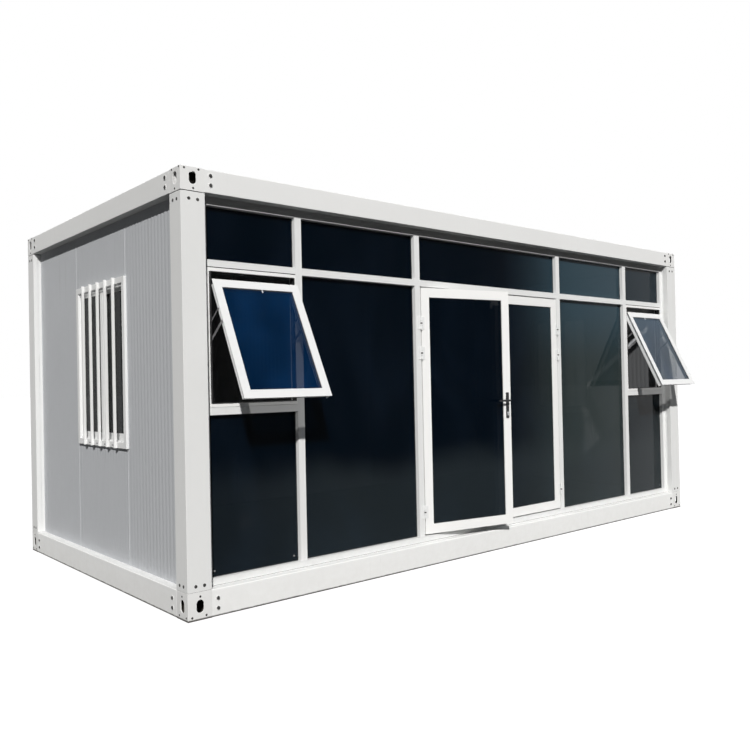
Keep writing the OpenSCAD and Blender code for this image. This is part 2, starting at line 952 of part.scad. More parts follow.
// One spindle through the door, with a grip towards the hinges on each face
module door_lever() {
    color(handle_black)
        ajar()
            translate([-handle_x, front_y + leaf_t / 2, lever_z])
                for (side = end_sides) {
                    reach = leaf_t / 2 + grip_off;
                    rotate([90, 0, 0])
                        cylinder(r = spindle_r, h = 2 * reach, center = true, $fn = 48);
                    translate([0, side * reach, 0]) {
                        rotate([0, -90, 0]) cylinder(r = grip_r, h = grip_l, $fn = 32);
                        sphere(r = grip_r, $fn = 32);
                    }
                }
}

corner_posts();
bottom_castings();
top_castings();
bottom_long_beams();
bottom_end_beams();
top_long_beams();
top_end_beams();
floor_joists();
floor_deck();
roof_purlins();
roof_sheet();
ceiling_sheet();
left_wall_side_panels();
left_wall_window_panel();
right_wall_side_panels();
right_wall_window_panel();
back_wall_panels();
end_window_frames();
end_window_sashes();
end_window_panes();
glazing_head();
glazing_sill();
glazing_jambs();
glazing_mullions();
glazing_transoms();
top_light_panes();
fixed_panes();
awning_frames();
awning_sashes();
awning_panes();
awning_stays();
door_stop();
frame_hinges();
left_door_leaf();
left_door_glass();
left_door_hinges();
right_door_leaf();
right_door_glass();
right_door_hinges();
handle_plates();
door_lever();
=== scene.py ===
import math

import bmesh
import bpy
from mathutils import Matrix, Vector


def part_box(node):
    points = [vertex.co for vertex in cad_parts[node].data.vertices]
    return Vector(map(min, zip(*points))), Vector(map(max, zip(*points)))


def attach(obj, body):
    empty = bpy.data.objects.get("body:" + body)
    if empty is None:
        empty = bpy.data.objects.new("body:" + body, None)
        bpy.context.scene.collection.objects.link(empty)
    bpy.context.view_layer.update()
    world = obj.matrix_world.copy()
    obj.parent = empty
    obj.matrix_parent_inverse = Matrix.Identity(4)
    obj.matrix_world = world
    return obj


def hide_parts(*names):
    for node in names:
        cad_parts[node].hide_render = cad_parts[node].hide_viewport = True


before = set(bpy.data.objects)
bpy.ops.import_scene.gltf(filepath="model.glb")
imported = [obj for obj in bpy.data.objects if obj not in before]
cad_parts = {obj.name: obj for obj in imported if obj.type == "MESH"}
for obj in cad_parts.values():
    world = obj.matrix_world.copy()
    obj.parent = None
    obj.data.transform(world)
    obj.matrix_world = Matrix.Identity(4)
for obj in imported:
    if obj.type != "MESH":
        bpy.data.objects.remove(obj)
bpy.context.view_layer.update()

# Glass-fronted flat-pack container cabin. Metres; +X along the glazed front,
# -Y out of it, +Z up, the origin at the middle of the footprint on the ground.

# ---------------------------------------------------------------- sizes
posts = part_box("corner_posts")
half_l = posts[1].x
half_w = posts[1].y
wall_z0 = posts[0].z
wall_z1 = posts[1].z
post_x = half_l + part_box("bottom_long_beams")[0].x
post_y = half_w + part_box("bottom_end_beams")[0].y
post_step = 0.006

edge_gap = 0.0003
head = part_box("glazing_head")
front_y = head[0].y
glazing_t = head[1].y - front_y
head_z = head[0].z
sill_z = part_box("glazing_sill")[1].z
transom_z0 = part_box("door_stop")[1].z
transom_z1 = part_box("top_light_panes")[0].z - edge_gap
low_transom_z0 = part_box("glazing_transoms")[0].z
awning_z0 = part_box("awning_frames")[0].z
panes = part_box("fixed_panes")
glass_faces = (panes[0].y, panes[1].y)
bay_out = -panes[0].x + edge_gap
end_bay_w = 0.671
bay_in = bay_out - end_bay_w
mullion_w = 0.055
door_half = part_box("door_stop")[1].x + edge_gap
bays = [
    (-bay_out, -bay_in),
    (-bay_in + mullion_w, -door_half - mullion_w),
    (-door_half, door_half),
    (door_half + mullion_w, bay_in - mullion_w),
    (bay_in, bay_out),
]
end_bays = (0, 4)
wide_bays = (1, 3)

end_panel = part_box("left_wall_window_panel")
wall_out = half_l + end_panel[0].x
wall_in = half_l + end_panel[1].x
wall_t = wall_in - wall_out
panel_joint = 0.0006

# End window, with its place along the wall measured from the middle, to the front
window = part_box("end_window_frames")
window_middle = 0.040
window_w = 0.945
window_x0 = window_middle - window_w / 2
window_x1 = window_middle + window_w / 2
window_z0 = window[0].z
window_z1 = window[1].z
window_y = half_l + window[0].x
window_cover = 0.020
window_margin = 0.062
window_face = 0.044
slider_stile = 0.058
slider_foot = 0.056
slider_head = 0.040
slider_in = 0.020
slider_t = 0.025
slider_gap = 0.003
slider_glass_t = 0.010

# Open awning sash
sash_angle = math.radians(26)
sash_out = 0.018
sash_drop = 0.048
awning_face = 0.026
sash_w = end_bay_w + 0.005
sash_h = transom_z0 - awning_z0 - 2 * awning_face + 0.014
sash_top_z = transom_z0 - awning_face - sash_drop
sash_face = 0.058
sash_t = 0.045

# Door leaves
leaf_glass_setback = 0.010
leaf_glass_t = 0.020
leaf_side_gap = 0.007
leaf_meet_gap = 0.008
leaf_face = 0.076
leaf_t = 0.045
leaf_hinge_x = door_half - leaf_side_gap
leaf_z0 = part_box("right_door_leaf")[0].z
leaf_z1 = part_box("right_door_leaf")[1].z
hinge_x = door_half - 0.0005
hinge_y = front_y - 0.0085
hinge_h = 0.100
hinge_zs = [leaf_z0 + 0.176, leaf_z1 - 0.521, leaf_z1 - 0.284]
left_ajar = math.radians(11.5)
handle_x = -(leaf_meet_gap + leaf_face) / 2
lever_z = 1.268
lock_z = 1.166

# Where things stand: the left end's wall is laid out with x towards the front
# and y into the cabin, and the right end is its mirror image
mirror_x = Matrix.Scale(-1, 4, (1, 0, 0))
mirror_y = Matrix.Scale(-1, 4, (0, 1, 0))
left_end = Matrix.Translation((-half_l, 0, 0)) @ Matrix.Rotation(math.radians(-90), 4, "Z")
ends = {"left": left_end, "right": mirror_x @ left_end}
back_wall = Matrix.Translation((0, half_w, 0)) @ Matrix.Rotation(math.radians(180), 4, "Z")
hinge_line = Matrix.Translation((-hinge_x, hinge_y, 0))
ajar = hinge_line @ Matrix.Rotation(-left_ajar, 4, "Z") @ hinge_line.inverted()


# ---------------------------------------------------------------- finishes
class Tree:
    """Adds nodes to one node tree and links them in a line or two."""

    def __init__(self, tree):
        self.tree = tree

    def put(self, value, socket):
        """Links an output to a socket, or sets the socket to a plain value."""
        if isinstance(value, bpy.types.NodeSocket):
            self.tree.links.new(value, socket)
        else:
            socket.default_value = (*value, 1) if socket.type == "RGBA" else value

    def add(self, kind, values=None, **settings):
        node = self.tree.nodes.new("ShaderNode" + kind)
        for key, value in settings.items():
            setattr(node, key, value)
        for key, value in (values or {}).items():
            self.put(value, node.inputs[key])
        return node

    def place(self, scale=(1, 1, 1)):
        """The point on the piece, stretched by scale."""
        here = self.add("TexCoord").outputs["Object"]
        return self.add("Mapping", {"Vector": here, "Scale": scale}).outputs["Vector"]

    def noise(self, scale, detail=3.0, roughness=0.55, stretch=(1, 1, 1), distortion=0.0):
        return self.add("TexNoise", {
            "Vector": self.place(stretch), "Scale": scale, "Detail": detail,
            "Roughness": roughness, "Distortion": distortion}).outputs["Fac"]

    def ramp(self, value, low, high, to_low=0.0, to_high=1.0):
        return self.add("MapRange", {
            "Value": value, "From Min": low, "From Max": high, "To Min": to_low,
            "To Max": to_high}, interpolation_type="SMOOTHSTEP").outputs["Result"]

    def math(self, kind, first, second):
        return self.add("Math", {0: first, 1: second}, operation=kind).outputs["Value"]

    def plus(self, first, second):
        return self.math("ADD", first, second)

    def times(self, first, second):
        return self.math("MULTIPLY", first, second)

    def swing(self, value, amount):
        """A value from 0 to 1, turned into one that swings either way."""
        return self.times(self.math("SUBTRACT", value, 0.5), amount)

    def mix(self, amount, first, second, kind="MIX"):
        node = self.add("Mix", data_type="RGBA", blend_type=kind)
        sockets = {s.identifier: s for s in node.inputs}
        self.put(amount, sockets["Factor_Float"])
        self.put(first, sockets["A_Color"])
        self.put(second, sockets["B_Color"])
        return next(s for s in node.outputs if s.identifier == "Result_Color")

    def seen(self):
        """1 where the eye looks, straight, by way of a reflection or through glass."""
        path = self.add("LightPath").outputs
        through = self.math("MAXIMUM", path["Is Glossy Ray"], path["Is Transmission Ray"])
        return self.math("MAXIMUM", path["Is Camera Ray"], through)


def shader_group(name, inputs, outputs):
    """An empty node group, given the value of each input and the kind of each output."""
    group = bpy.data.node_groups.new(name, "ShaderNodeTree")
    for label, value in inputs.items():
        kind = "NodeSocketColor" if isinstance(value, tuple) else "NodeSocketFloat"
        socket = group.interface.new_socket(name=label, in_out="INPUT", socket_type=kind)
        socket.default_value = value
    for label, kind in outputs.items():
        group.interface.new_socket(name=label, in_out="OUTPUT", socket_type=kind)
    given = group.nodes.new("NodeGroupInput").outputs
    results = group.nodes.new("NodeGroupOutput").inputs
    return group, Tree(group), given, results


def make_weathered_coat():
    """Paint out of doors: uneven tone, rain streaks, and dust that thickens towards the ground,
    with a fine orange-peel surface. Foot shadow paints a dark contact shadow along its lowest 1.5 cm."""
    group, t, given, results = shader_group("weathered_coat", {
        "Paint": (0.8, 0.8, 0.8, 1), "Dust": (0.42, 0.38, 0.33, 1), "Unevenness": 0.05,
        "Streaks": 0.15, "Dust amount": 0.3, "Foot shadow": 0.0, "Gloss loss": 0.2,
        "Base roughness": 0.4,
    }, {"Color": "NodeSocketColor", "Roughness": "NodeSocketFloat", "Height": "NodeSocketFloat"})
    height = t.add("SeparateXYZ", {"Vector": t.place()}).outputs["Z"]
    patches = t.noise(1.7, 5.0)
    fine = t.noise(19.0)
    tone = t.plus(t.swing(patches, 1.6), t.swing(fine, 0.5))
    shade = t.plus(1.0, t.times(tone, given["Unevenness"]))
    grey = t.add("CombineColor", {"Red": shade, "Green": shade, "Blue": shade}).outputs["Color"]
    paint = t.mix(1.0, given["Paint"], grey, "MULTIPLY")
    runs = t.ramp(t.noise(30.0, 2.0, 0.5, (1, 1, 0.035)), 0.56, 0.78)
    runs = t.times(runs, t.ramp(patches, 0.40, 0.62))
    splash_height = 0.42
    low = t.ramp(height, 0.0, splash_height, 1.0, 0.0)
    splash = t.ramp(t.plus(t.noise(16.0, 6.0, 0.7), t.times(low, 0.32)), 0.62, 0.92)
    dust = t.times(t.times(splash, low), given["Dust amount"])
    dirt = t.math("MINIMUM", t.plus(t.times(runs, given["Streaks"]), dust), 1.0)
    dusty = t.mix(dirt, paint, given["Dust"])
    # Painted shadow: a dark line along the lowest centimetre and a half, where the piece meets the ground
    foot_shadow_colour = (0.045, 0.038, 0.032)
    foot = t.ramp(t.plus(height, t.swing(fine, 0.006)), 0.007, 0.015, 1.0, 0.0)
    foot_shaded = t.mix(t.times(foot, given["Foot shadow"]), dusty, foot_shadow_colour)
    t.put(foot_shaded, results["Color"])
    dull = t.times(t.plus(dirt, t.times(patches, 0.35)), given["Gloss loss"])
    t.put(t.plus(given["Base roughness"], dull), results["Roughness"])
    t.put(t.plus(t.noise(420.0, 1.0), t.times(fine, 0.6)), results["Height"])
    return group


def make_faint_marks():
    """Smears, and dried drops with fine dust, on glass, rubber and handles, as two masks."""
    group, t, given, results = shader_group(
        "faint_marks", {"Smear scale": 3.0, "Speck scale": 120.0},
        {"Smears": "NodeSocketFloat", "Specks": "NodeSocketFloat"})
    smears = t.noise(given["Smear scale"], 6.0, 0.6, (1, 1, 0.45), 0.6)
    specks = t.noise(given["Speck scale"], 2.0, 0.5)
    t.put(t.ramp(smears, 0.42, 0.72), results["Smears"])
    t.put(t.ramp(specks, 0.62, 0.80), results["Specks"])
    return group


weathered_coat = make_weathered_coat()
faint_marks = make_faint_marks()


def blank_tree(owner):
    owner.use_nodes = True
    owner.node_tree.nodes.clear()
    return Tree(owner.node_tree)


def blank_finish(name):
    finish = bpy.data.materials.new(name)
    t = blank_tree(finish)
    shader = t.add("BsdfPrincipled")
    t.add("OutputMaterial", {"Surface": shader.outputs["BSDF"]})
    return finish, t, shader.inputs


def marks_on(t, smear_scale, speck_scale):
    """The masks of faint marks, at this finish's own scales."""
    return t.add("Group", {"Smear scale": smear_scale, "Speck scale": speck_scale},
                 node_tree=faint_marks).outputs


def roughen(t, shader, height, distance, strength=1.0):
    """A fine relief on the surface."""
    bump = t.add("Bump", {"Strength": strength, "Distance": distance, "Height": height})
    t.put(bump.outputs["Normal"], shader["Normal"])


def painted(name, colour, roughness=0.4, unevenness=0.05, streaks=0.12, dust=0.3,
            peel=0.00012, specular=0.015, dust_colour=(0.42, 0.38, 0.33), foot_shadow=0.0):
    """Coated metal with the weathering that standing out of doors gives it, and a painted contact shadow at
    its foot where foot_shadow is set.
    """
    finish, t, shader = blank_finish(name)
    coat = t.add("Group", {
        "Paint": colour, "Dust": dust_colour, "Unevenness": unevenness, "Streaks": streaks,
        "Dust amount": dust, "Foot shadow": foot_shadow, "Base roughness": roughness,
    }, node_tree=weathered_coat).outputs
    t.put(coat["Color"], shader["Base Color"])
    t.put(coat["Roughness"], shader["Roughness"])
    roughen(t, shader, coat["Height"], peel)
    shader["Specular IOR Level"].default_value = specular
    return finish


def plain_rubber():
    finish, t, shader = blank_finish("black_rubber")
    marks = marks_on(t, 14.0, 260.0)
    t.put(t.mix(marks["Smears"], (0.012, 0.012, 0.013), (0.030, 0.030, 0.031)), shader["Base Color"])
    t.put(t.ramp(marks["Specks"], 0.0, 1.0, 0.62, 0.85), shader["Roughness"])
    return finish


def dark_glass(name, colour, alpha, shine=1.0, reflection_amount=0.0):
    """Tinted glass, almost without a reflection from straight on and mirror-like from a
    slant. A painted reflection of the ground lies low on it and a painted reflection of the yard and sky
    over its right half, and dried marks dull it."""
    finish, t, shader = blank_finish(name)
    marks = marks_on(t, 1.6, 90.0)
    paler = [c * 1.9 + 0.002 for c in colour]
    tint = t.mix(marks["Smears"], colour, paler)
    # Ramps over X run along the front, and those over Z up from the ground
    spot = t.add("SeparateXYZ", {"Vector": t.place()}).outputs
    # Painted reflections: a pale band of the ground low on the glass, and of the yard and sky, bluer higher
    # up, over the right half
    height = t.plus(spot["Z"], t.swing(t.noise(1.3, 4.0), 0.35))
    ground_reflection = t.ramp(height, 0.66, 0.98, reflection_amount, 0.0)
    ground_reflection = t.times(ground_reflection, t.ramp(spot["X"], -2.7, -1.6, 0.55, 1.0))
    sky_reflection = t.ramp(spot["X"], 0.1, 1.3, 0.0, reflection_amount * 1.7)
    sky_reflection = t.times(sky_reflection, t.ramp(spot["Z"], 0.5, 1.0, 0.4, 1.0))
    sky_reflection = t.times(sky_reflection, t.ramp(spot["X"], 1.95, 2.10, 1.0, 0.28))
    sky_reflection_tone = t.mix(t.ramp(spot["Z"], 1.5, 2.2), (0.210, 0.310, 0.280), (0.280, 0.570, 0.740))
    ground_reflection_tone = (0.240, 0.310, 0.320)
    t.put(t.mix(ground_reflection, t.mix(sky_reflection, tint, sky_reflection_tone), ground_reflection_tone), shader["Base Color"])
    dull = t.plus(t.times(marks["Smears"], 0.015), t.times(marks["Specks"], 0.02))
    t.put(t.plus(dull, 0.02), shader["Roughness"])
    slant = t.add("LayerWeight", {"Blend": 0.5}).outputs["Facing"]
    t.put(t.ramp(slant, 0.34, 0.70, 0.0, shine), shader["Coat Weight"])
    shader["Coat Roughness"].default_value = 0.02
    shader["Alpha"].default_value = alpha
    shader["Metallic"].default_value = 0.0
    shader["Specular IOR Level"].default_value = 0.02
    return finish


def worn_metal(name, colour, roughness, metallic=0.0):
    """Bare or black-coated steel, or nylon, with handling marks and a fine grain."""
    finish, t, shader = blank_finish(name)
    marks = marks_on(t, 22.0, 600.0)
    worn = [min(1.0, c * 1.35 + 0.01) for c in colour]
    t.put(t.mix(marks["Smears"], colour, worn), shader["Base Color"])
    t.put(t.ramp(marks["Smears"], 0.0, 1.0, roughness, roughness + 0.16), shader["Roughness"])
    roughen(t, shader, marks["Specks"], 0.00005, 0.6)
    shader["Metallic"].default_value = metallic
    shader["Specular IOR Level"].default_value = 0.3
    return finish


def floor_finish():
    """Grey vinyl on board, with a faint grain along the boards."""
    finish, t, shader = blank_finish("grey_floor_board")
    grain = t.noise(26.0, 6.0, 0.65, (0.12, 1, 1))
    clouds = t.noise(2.2, 4.0)
    colour = t.mix(grain, (0.095, 0.090, 0.083), (0.150, 0.142, 0.130))
    colour = t.mix(t.ramp(clouds, 0.35, 0.7, 0.0, 0.35), colour, (0.190, 0.184, 0.172))
    t.put(colour, shader["Base Color"])
    t.put(t.ramp(clouds, 0.3, 0.7, 0.42, 0.58), shader["Roughness"])
    roughen(t, shader, grain, 0.0002, 0.5)
    return finish


# Roughness, unevenness, streaks and dust follow each colour
beam_wear = (0.42, 0.040, 0.05, 0.06)
# foot_shadow paints a dark contact shadow along the ground on the bottom beams and castings
steel_paint = painted("white_steel_paint", (0.850, 0.854, 0.848), *beam_wear, foot_shadow=0.9)
# Painted light: the bottom beams, of the same white steel as the top ones, are painted brighter
lower_beam_lit_paint = painted("white_lower_beam_lit_paint", (0.915, 0.920, 0.912), *beam_wear, foot_shadow=0.9)
post_paint = painted("white_post_paint", (0.822, 0.828, 0.822), *beam_wear)
# Painted shade: a darker grey for the undersides of the top beams
underside_shade_paint = painted("grey_underside_shade", (0.560, 0.565, 0.560), 0.70, 0.080, 0.10, 0.00, specular=0.0)
casting_paint = painted("white_casting_paint", (0.845, 0.847, 0.840), 0.46, 0.050, 0.08, 0.08,
                        0.0004, foot_shadow=0.9)
# Painted shade: near black for the faces inside the hollow castings
casting_inside_shade = painted("dark_casting_inside_shade", (0.020, 0.018, 0.017), 0.75, 0.20, 0.10, 0.20, 0.0004)
panel_paint = painted("grey_panel_coat", (0.540, 0.556, 0.578), 0.52, 0.060, 0.30, 0.12,
                      specular=0.01, dust_colour=(0.42, 0.42, 0.42))
sill_paint = painted("white_sill_coat", (0.760, 0.767, 0.765), 0.40, 0.045, 0.05, 0.20)
profile_paint = painted("white_profile_coat", (0.825, 0.833, 0.830), 0.38, 0.035, 0.05, 0.12)
leaf_paint = painted("bright_leaf_coat", (0.925, 0.927, 0.917), 0.36, 0.028, 0.02, 0.04)
sash_paint = painted("awning_sash_coat", (0.815, 0.822, 0.825), 0.36, 0.028, 0.02, 0.00)
head_paint = painted("grey_head_coat", (0.415, 0.417, 0.415), 0.55, 0.090, 0.18, 0.00, specular=0.01)
bar_paint = painted("white_bar_paint", (0.850, 0.855, 0.850), 0.38, 0.040, 0.06, 0.14)
roof_paint = painted("white_roof_sheet", (0.700, 0.712, 0.715), 0.45, 0.090, 0.22, 0.10)
ceiling_paint = painted("white_ceiling_sheet", (0.800, 0.805, 0.800), 0.50, 0.030, 0.00, 0.00)
rubber = plain_rubber()
# reflection_amount sets how strong the painted reflections on each glass are
pane_tint = (0.0006, 0.0030, 0.0072)
pane_glass = dark_glass("dark_pane_glass", pane_tint, 0.78, reflection_amount=0.065)
leaf_glass = dark_glass("dark_leaf_glass", pane_tint, 0.84, reflection_amount=0.065)
sash_glass = dark_glass("blue_sash_glass", (0.0006, 0.0165, 0.0560), 0.53, reflection_amount=0.24)
window_glass = dark_glass("dark_window_glass", (0.0020, 0.0040, 0.0050), 0.70, 0.25, 0.05)
zinc = worn_metal("zinc_plated_steel", (0.56, 0.57, 0.58), 0.34, 0.9)
stay_steel = worn_metal("plain_stay_steel", (0.17, 0.17, 0.175), 0.40)
dark_bolt = worn_metal("blackened_bolt", (0.035, 0.034, 0.033), 0.50)
handle_black = worn_metal("satin_black_handle", (0.008, 0.008, 0.009), 0.46)
nylon = worn_metal("dark_nylon", (0.030, 0.030, 0.031), 0.55)
floor_board = floor_finish()


# ---------------------------------------------------------------- making pieces
sharp_edge = math.radians(38)
same_spot = 0.0001


def verts_of(geom):
    return [g for g in geom if isinstance(g, bmesh.types.BMVert)]


def faces_of(geom):
    return [g for g in geom if isinstance(g, bmesh.types.BMFace)]


def place(bm, matrix):
    bmesh.ops.transform(bm, matrix=matrix, verts=bm.verts)


def bevel(bm, edges, width, segments):
    bmesh.ops.bevel(bm, geom=edges, offset=width, segments=segments, profile=0.5,
                    affect="EDGES", material=-1, clamp_overlap=True)


def soften(bm, width, angle=75, segments=2):
    """Rounds every edge that turns by more than angle degrees."""
    limit = math.radians(angle)
    edges = [e for e in bm.edges if len(e.link_faces) == 2 and e.calc_face_angle() > limit]
    bevel(bm, edges, width, segments)


def finish_piece(bm, name, finish, slot, body="root", stands_for=(), matrix=None, outwards=True):
    """Turns a mesh in the making into a piece that rides on a body."""
    if matrix is not None:
        place(bm, matrix)
    if outwards:
        bmesh.ops.recalc_face_normals(bm, faces=bm.faces)
    mesh = bpy.data.meshes.new(name)
    bm.to_mesh(mesh)
    bm.free()
    for coat in finish if isinstance(finish, tuple) else (finish,):
        mesh.materials.append(coat)
    mesh.shade_smooth()
    mesh.set_sharp_from_angle(angle=sharp_edge)
    piece = bpy.data.objects.new(name, mesh)
    bpy.context.scene.collection.objects.link(piece)
    shading = piece.modifiers.new("even_shading", "WEIGHTED_NORMAL")
    shading.keep_sharp = True
    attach(piece, body)
    if stands_for:
        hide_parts(*stands_for)


def merged_copy(node):
    """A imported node's shape as one clean mesh, with whole faces in place of triangles."""
    bm = bmesh.new()
    bm.from_mesh(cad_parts[node].data)
    bmesh.ops.remove_doubles(bm, verts=bm.verts, dist=0.00002)
    bmesh.ops.dissolve_limit(bm, angle_limit=math.radians(0.4), verts=bm.verts, edges=bm.edges)
    return bm


def rounded_copy(node, name, finish, slot, width, body="root", angle=40):
    """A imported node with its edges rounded, which then stands for it."""
    bm = merged_copy(node)
    soften(bm, width, angle)
    finish_piece(bm, name, finish, slot, body, (node,), outwards=False)


def join(bm, part, matrix=None):
    """Adds one mesh in the making to another, at its place."""
    if matrix is not None:
        place(part, matrix)
    mesh = bpy.data.meshes.new("part")
    part.to_mesh(mesh)
    part.free()
    bm.from_mesh(mesh)
    bpy.data.meshes.remove(mesh)


def block_about(x, width, y0, y1, z0, z1):
    """The lowest and highest corner of a block whose middle is at x."""
    return (x - width / 2, y0, z0), (x + width / 2, y1, z1)


def add_block(bm, low, high):
    low = Vector(low)
    high = Vector(high)
    shape = Matrix.LocRotScale((low + high) / 2, None, high - low)
    bmesh.ops.create_cube(bm, size=1.0, matrix=shape)


def add_eased_block(bm, low, high, edge, matrix=None):
    """A block whose edges are rounded before it joins the rest."""
    part = bmesh.new()
    add_block(part, low, high)
    soften(part, edge)
    join(bm, part, matrix)


def block_piece(blocks, edge, name, finish, slot, **rest):
    """A piece of blocks with rounded edges. Each block is its lowest and highest corner."""
    bm = bmesh.new()
    for low, high in blocks:
        add_block(bm, low, high)
    soften(bm, edge)
    finish_piece(bm, name, finish, slot, **rest)


def add_drum(bm, foot, direction, radius, height, top=None, segments=20):
    """A round stud that stands on foot and points in direction."""
    aim = Vector((0, 0, 1)).rotation_difference(Vector(direction)).to_matrix().to_4x4()
    spot = Matrix.Translation(Vector(foot) + Vector(direction).normalized() * height / 2) @ aim
    bmesh.ops.create_cone(
        bm, cap_ends=True, cap_tris=False, segments=segments, radius1=radius,
        radius2=radius if top is None else top, depth=height, matrix=spot)


def add_studs(bm, foot, direction, low_stud, high_stud, segments):
    """Two drums, one on the other. Each is (radius, height, radius at its top)."""
    radius, height, top = low_stud
    add_drum(bm, foot, direction, radius, height, top, segments)
    foot = Vector(foot) + height * Vector(direction)
    radius, height, top = high_stud
    add_drum(bm, foot, direction, radius, height, top, segments)


def add_ring(bm, low, high, steps):
    """A mitred frame in the XZ plane. low and high are its outer corners (x, z).
    Each step is (distance in from the outer edge, depth), once round its section."""
    middle = Vector(((low[0] + high[0]) / 2, 0, (low[1] + high[1]) / 2))
    half = (high[0] - middle.x, high[1] - middle.z)
    inset, depth = steps[0]
    x0, z0 = low[0] + inset, low[1] + inset
    x1, z1 = high[0] - inset, high[1] - inset
    ring = [bm.verts.new((x, depth, z)) for x, z in ((x0, z0), (x1, z0), (x1, z1), (x0, z1))]
    made = list(ring)
    edges = [bm.edges.new(pair) for pair in zip(ring, ring[1:] + ring[:1])]
    for next_inset, next_depth in steps[1:] + steps[:1]:
        grown = bmesh.ops.extrude_edge_only(bm, edges=edges)["geom"]
        ring = verts_of(grown)
        made += ring
        edges = [g for g in grown if isinstance(g, bmesh.types.BMEdge) and set(g.verts) <= set(ring)]
        shape = ((half[0] - next_inset) / (half[0] - inset), 1, (half[1] - next_inset) / (half[1] - inset))
        bmesh.ops.scale(bm, vec=shape, space=Matrix.Translation(-middle), verts=ring)
        bmesh.ops.translate(bm, vec=(0, next_depth - depth, 0), verts=ring)
        inset, depth = next_inset, next_depth
    bmesh.ops.remove_doubles(bm, verts=made, dist=0.00001)


def add_bar(bm, section, axis, start, end):
    """A straight bar. Its section is (across, depth) pairs, and it runs along x or z."""
    if axis == "z":
        points = [(across, depth, start) for across, depth in section]
        run = (0, 0, end - start)
    else:
        points = [(start, depth, across) for across, depth in section]
        run = (end - start, 0, 0)
    face = bm.faces.new([bm.verts.new(p) for p in points])
    grown = bmesh.ops.extrude_face_region(bm, geom=[face])["geom"]
    bmesh.ops.translate(bm, vec=run, verts=verts_of(grown))


# ---------------------------------------------------------------- steel frame
fold_r = 0.0055
foot_fold_r = 0.009
cut_edge = 0.0008
casting_wall = 0.008
head_pad_t = 0.0048
foot_pad_t = 0.0016
pad_in = 0.0045
pad_back = 0.009
gusset_in = 0.104
gusset_t = 0.005
gusset_reach = 0.062
corners = [(side_x, side_y) for side_x in (-1, 1) for side_y in (-1, 1)]


def corner_blocks(near, far, z0, z1):
    """A block in each corner of the cabin. near and far are (x, y), in from the corner."""
    blocks = []
    for side_x, side_y in corners:
        xs = sorted((side_x * (half_l - near[0]), side_x * (half_l - far[0])))
        ys = sorted((side_y * (half_w - near[1]), side_y * (half_w - far[1])))
        blocks.append(((xs[0], ys[0], z0), (xs[1], ys[1], z1)))
    return blocks


def folded_beam(node, name, face_axis, paint, fold=fold_r):
    """A beam of folded sheet: a wide round on its outer folds, a fine one elsewhere, and
    painted shade, a darker grey, on the underside of a top beam."""
    bm = merged_copy(node)
    low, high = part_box(node)
    outside = high[face_axis]
    shortest_fold = 1.0
    folds = []
    for edge in bm.edges:
        tips = [v.co for v in edge.verts]
        on_face = all(abs(abs(tip[face_axis]) - outside) < same_spot for tip in tips)
        on_rim = any(all(abs(tip.z - z) < same_spot for tip in tips) for z in (low.z, high.z))
        if on_face and on_rim and edge.calc_length() > shortest_fold:
            folds.append(edge)
    bevel(bm, folds, fold, 4)
    soften(bm, cut_edge, 60, 1)
    # The undersides of the top beams get the painted shade
    for face in bm.faces:
        if low.z > wall_z0 and face.normal.z < -0.7:
            face.material_index = 1
    finish_piece(bm, name, (paint, underside_shade_paint), "frame_steel", stands_for=(node,), outwards=False)


def corner_casting(node, name):
    """Hollow castings, painted outside and in the slots, with near-black painted shade on the faces inside.
    """
    bm = merged_copy(node)
    soften(bm, 0.0026, 40)
    low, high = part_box(node)
    for face in bm.faces:
        centre = face.calc_center_median()
        x = half_l - abs(centre.x)
        y = half_w - abs(centre.y)
        depths = (x, post_x - x, y, post_y - y, centre.z - low.z, high.z - centre.z)
        # Faces deep inside the casting get the painted shade
        if min(depths) > casting_wall - 0.0012:
            face.material_index = 1
    coats = (casting_paint, casting_inside_shade)
    finish_piece(bm, name, coats, "frame_steel", stands_for=(node,), outwards=False)


def post_steel():
    """Posts that stop just short of the castings, with a dark pad in each joint that paints the shade in
    the gap.
    """
    bm = merged_copy("corner_posts")
    shade_pads = []
    far = (post_x - pad_back, post_y - pad_back)
    for end, shift in ((wall_z1, -head_pad_t), (wall_z0, foot_pad_t)):
        tips = [v for v in bm.verts if abs(v.co.z - end) < same_spot]
        bmesh.ops.translate(bm, vec=(0, 0, shift), verts=tips)
        shade_pads += corner_blocks((pad_in, pad_in), far, *sorted((end, end + shift)))
    soften(bm, 0.0028, 40)
    finish_piece(bm, "corner_post_steel", post_paint, "frame_steel", stands_for=("corner_posts",),
                 outwards=False)
    # The dark pads paint the shade in the gap between each post and its castings
    block_piece(shade_pads, 0.0005, "post_joint_shade_pads", rubber, "frame_steel")


def casting_gussets():
    """A short upright plate inside each top casting, just behind its end slot."""
    low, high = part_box("top_castings")
    near = (casting_wall, gusset_in)
    far = (gusset_reach, gusset_in + gusset_t)
    plates = corner_blocks(near, far, low.z + casting_wall, high.z - casting_wall)
    block_piece(plates, 0.0010, "casting_gussets", casting_paint, "frame_steel")


post_steel()
corner_casting("bottom_castings", "bottom_casting_steel")
corner_casting("top_castings", "top_casting_steel")
casting_gussets()
folded_beam("bottom_long_beams", "bottom_long_beam_steel", 1, lower_beam_lit_paint, foot_fold_r)
folded_beam("bottom_end_beams", "bottom_end_beam_steel", 0, lower_beam_lit_paint)
folded_beam("top_long_beams", "top_long_beam_steel", 1, steel_paint)
folded_beam("top_end_beams", "top_end_beam_steel", 0, steel_paint)
rounded_copy("floor_joists", "floor_joist_steel", steel_paint, "frame_steel", 0.003)
rounded_copy("roof_purlins", "roof_purlin_steel", steel_paint, "frame_steel", 0.003)
rounded_copy("roof_sheet", "ribbed_roof_sheet", roof_paint, "frame_steel", 0.0007, angle=60)


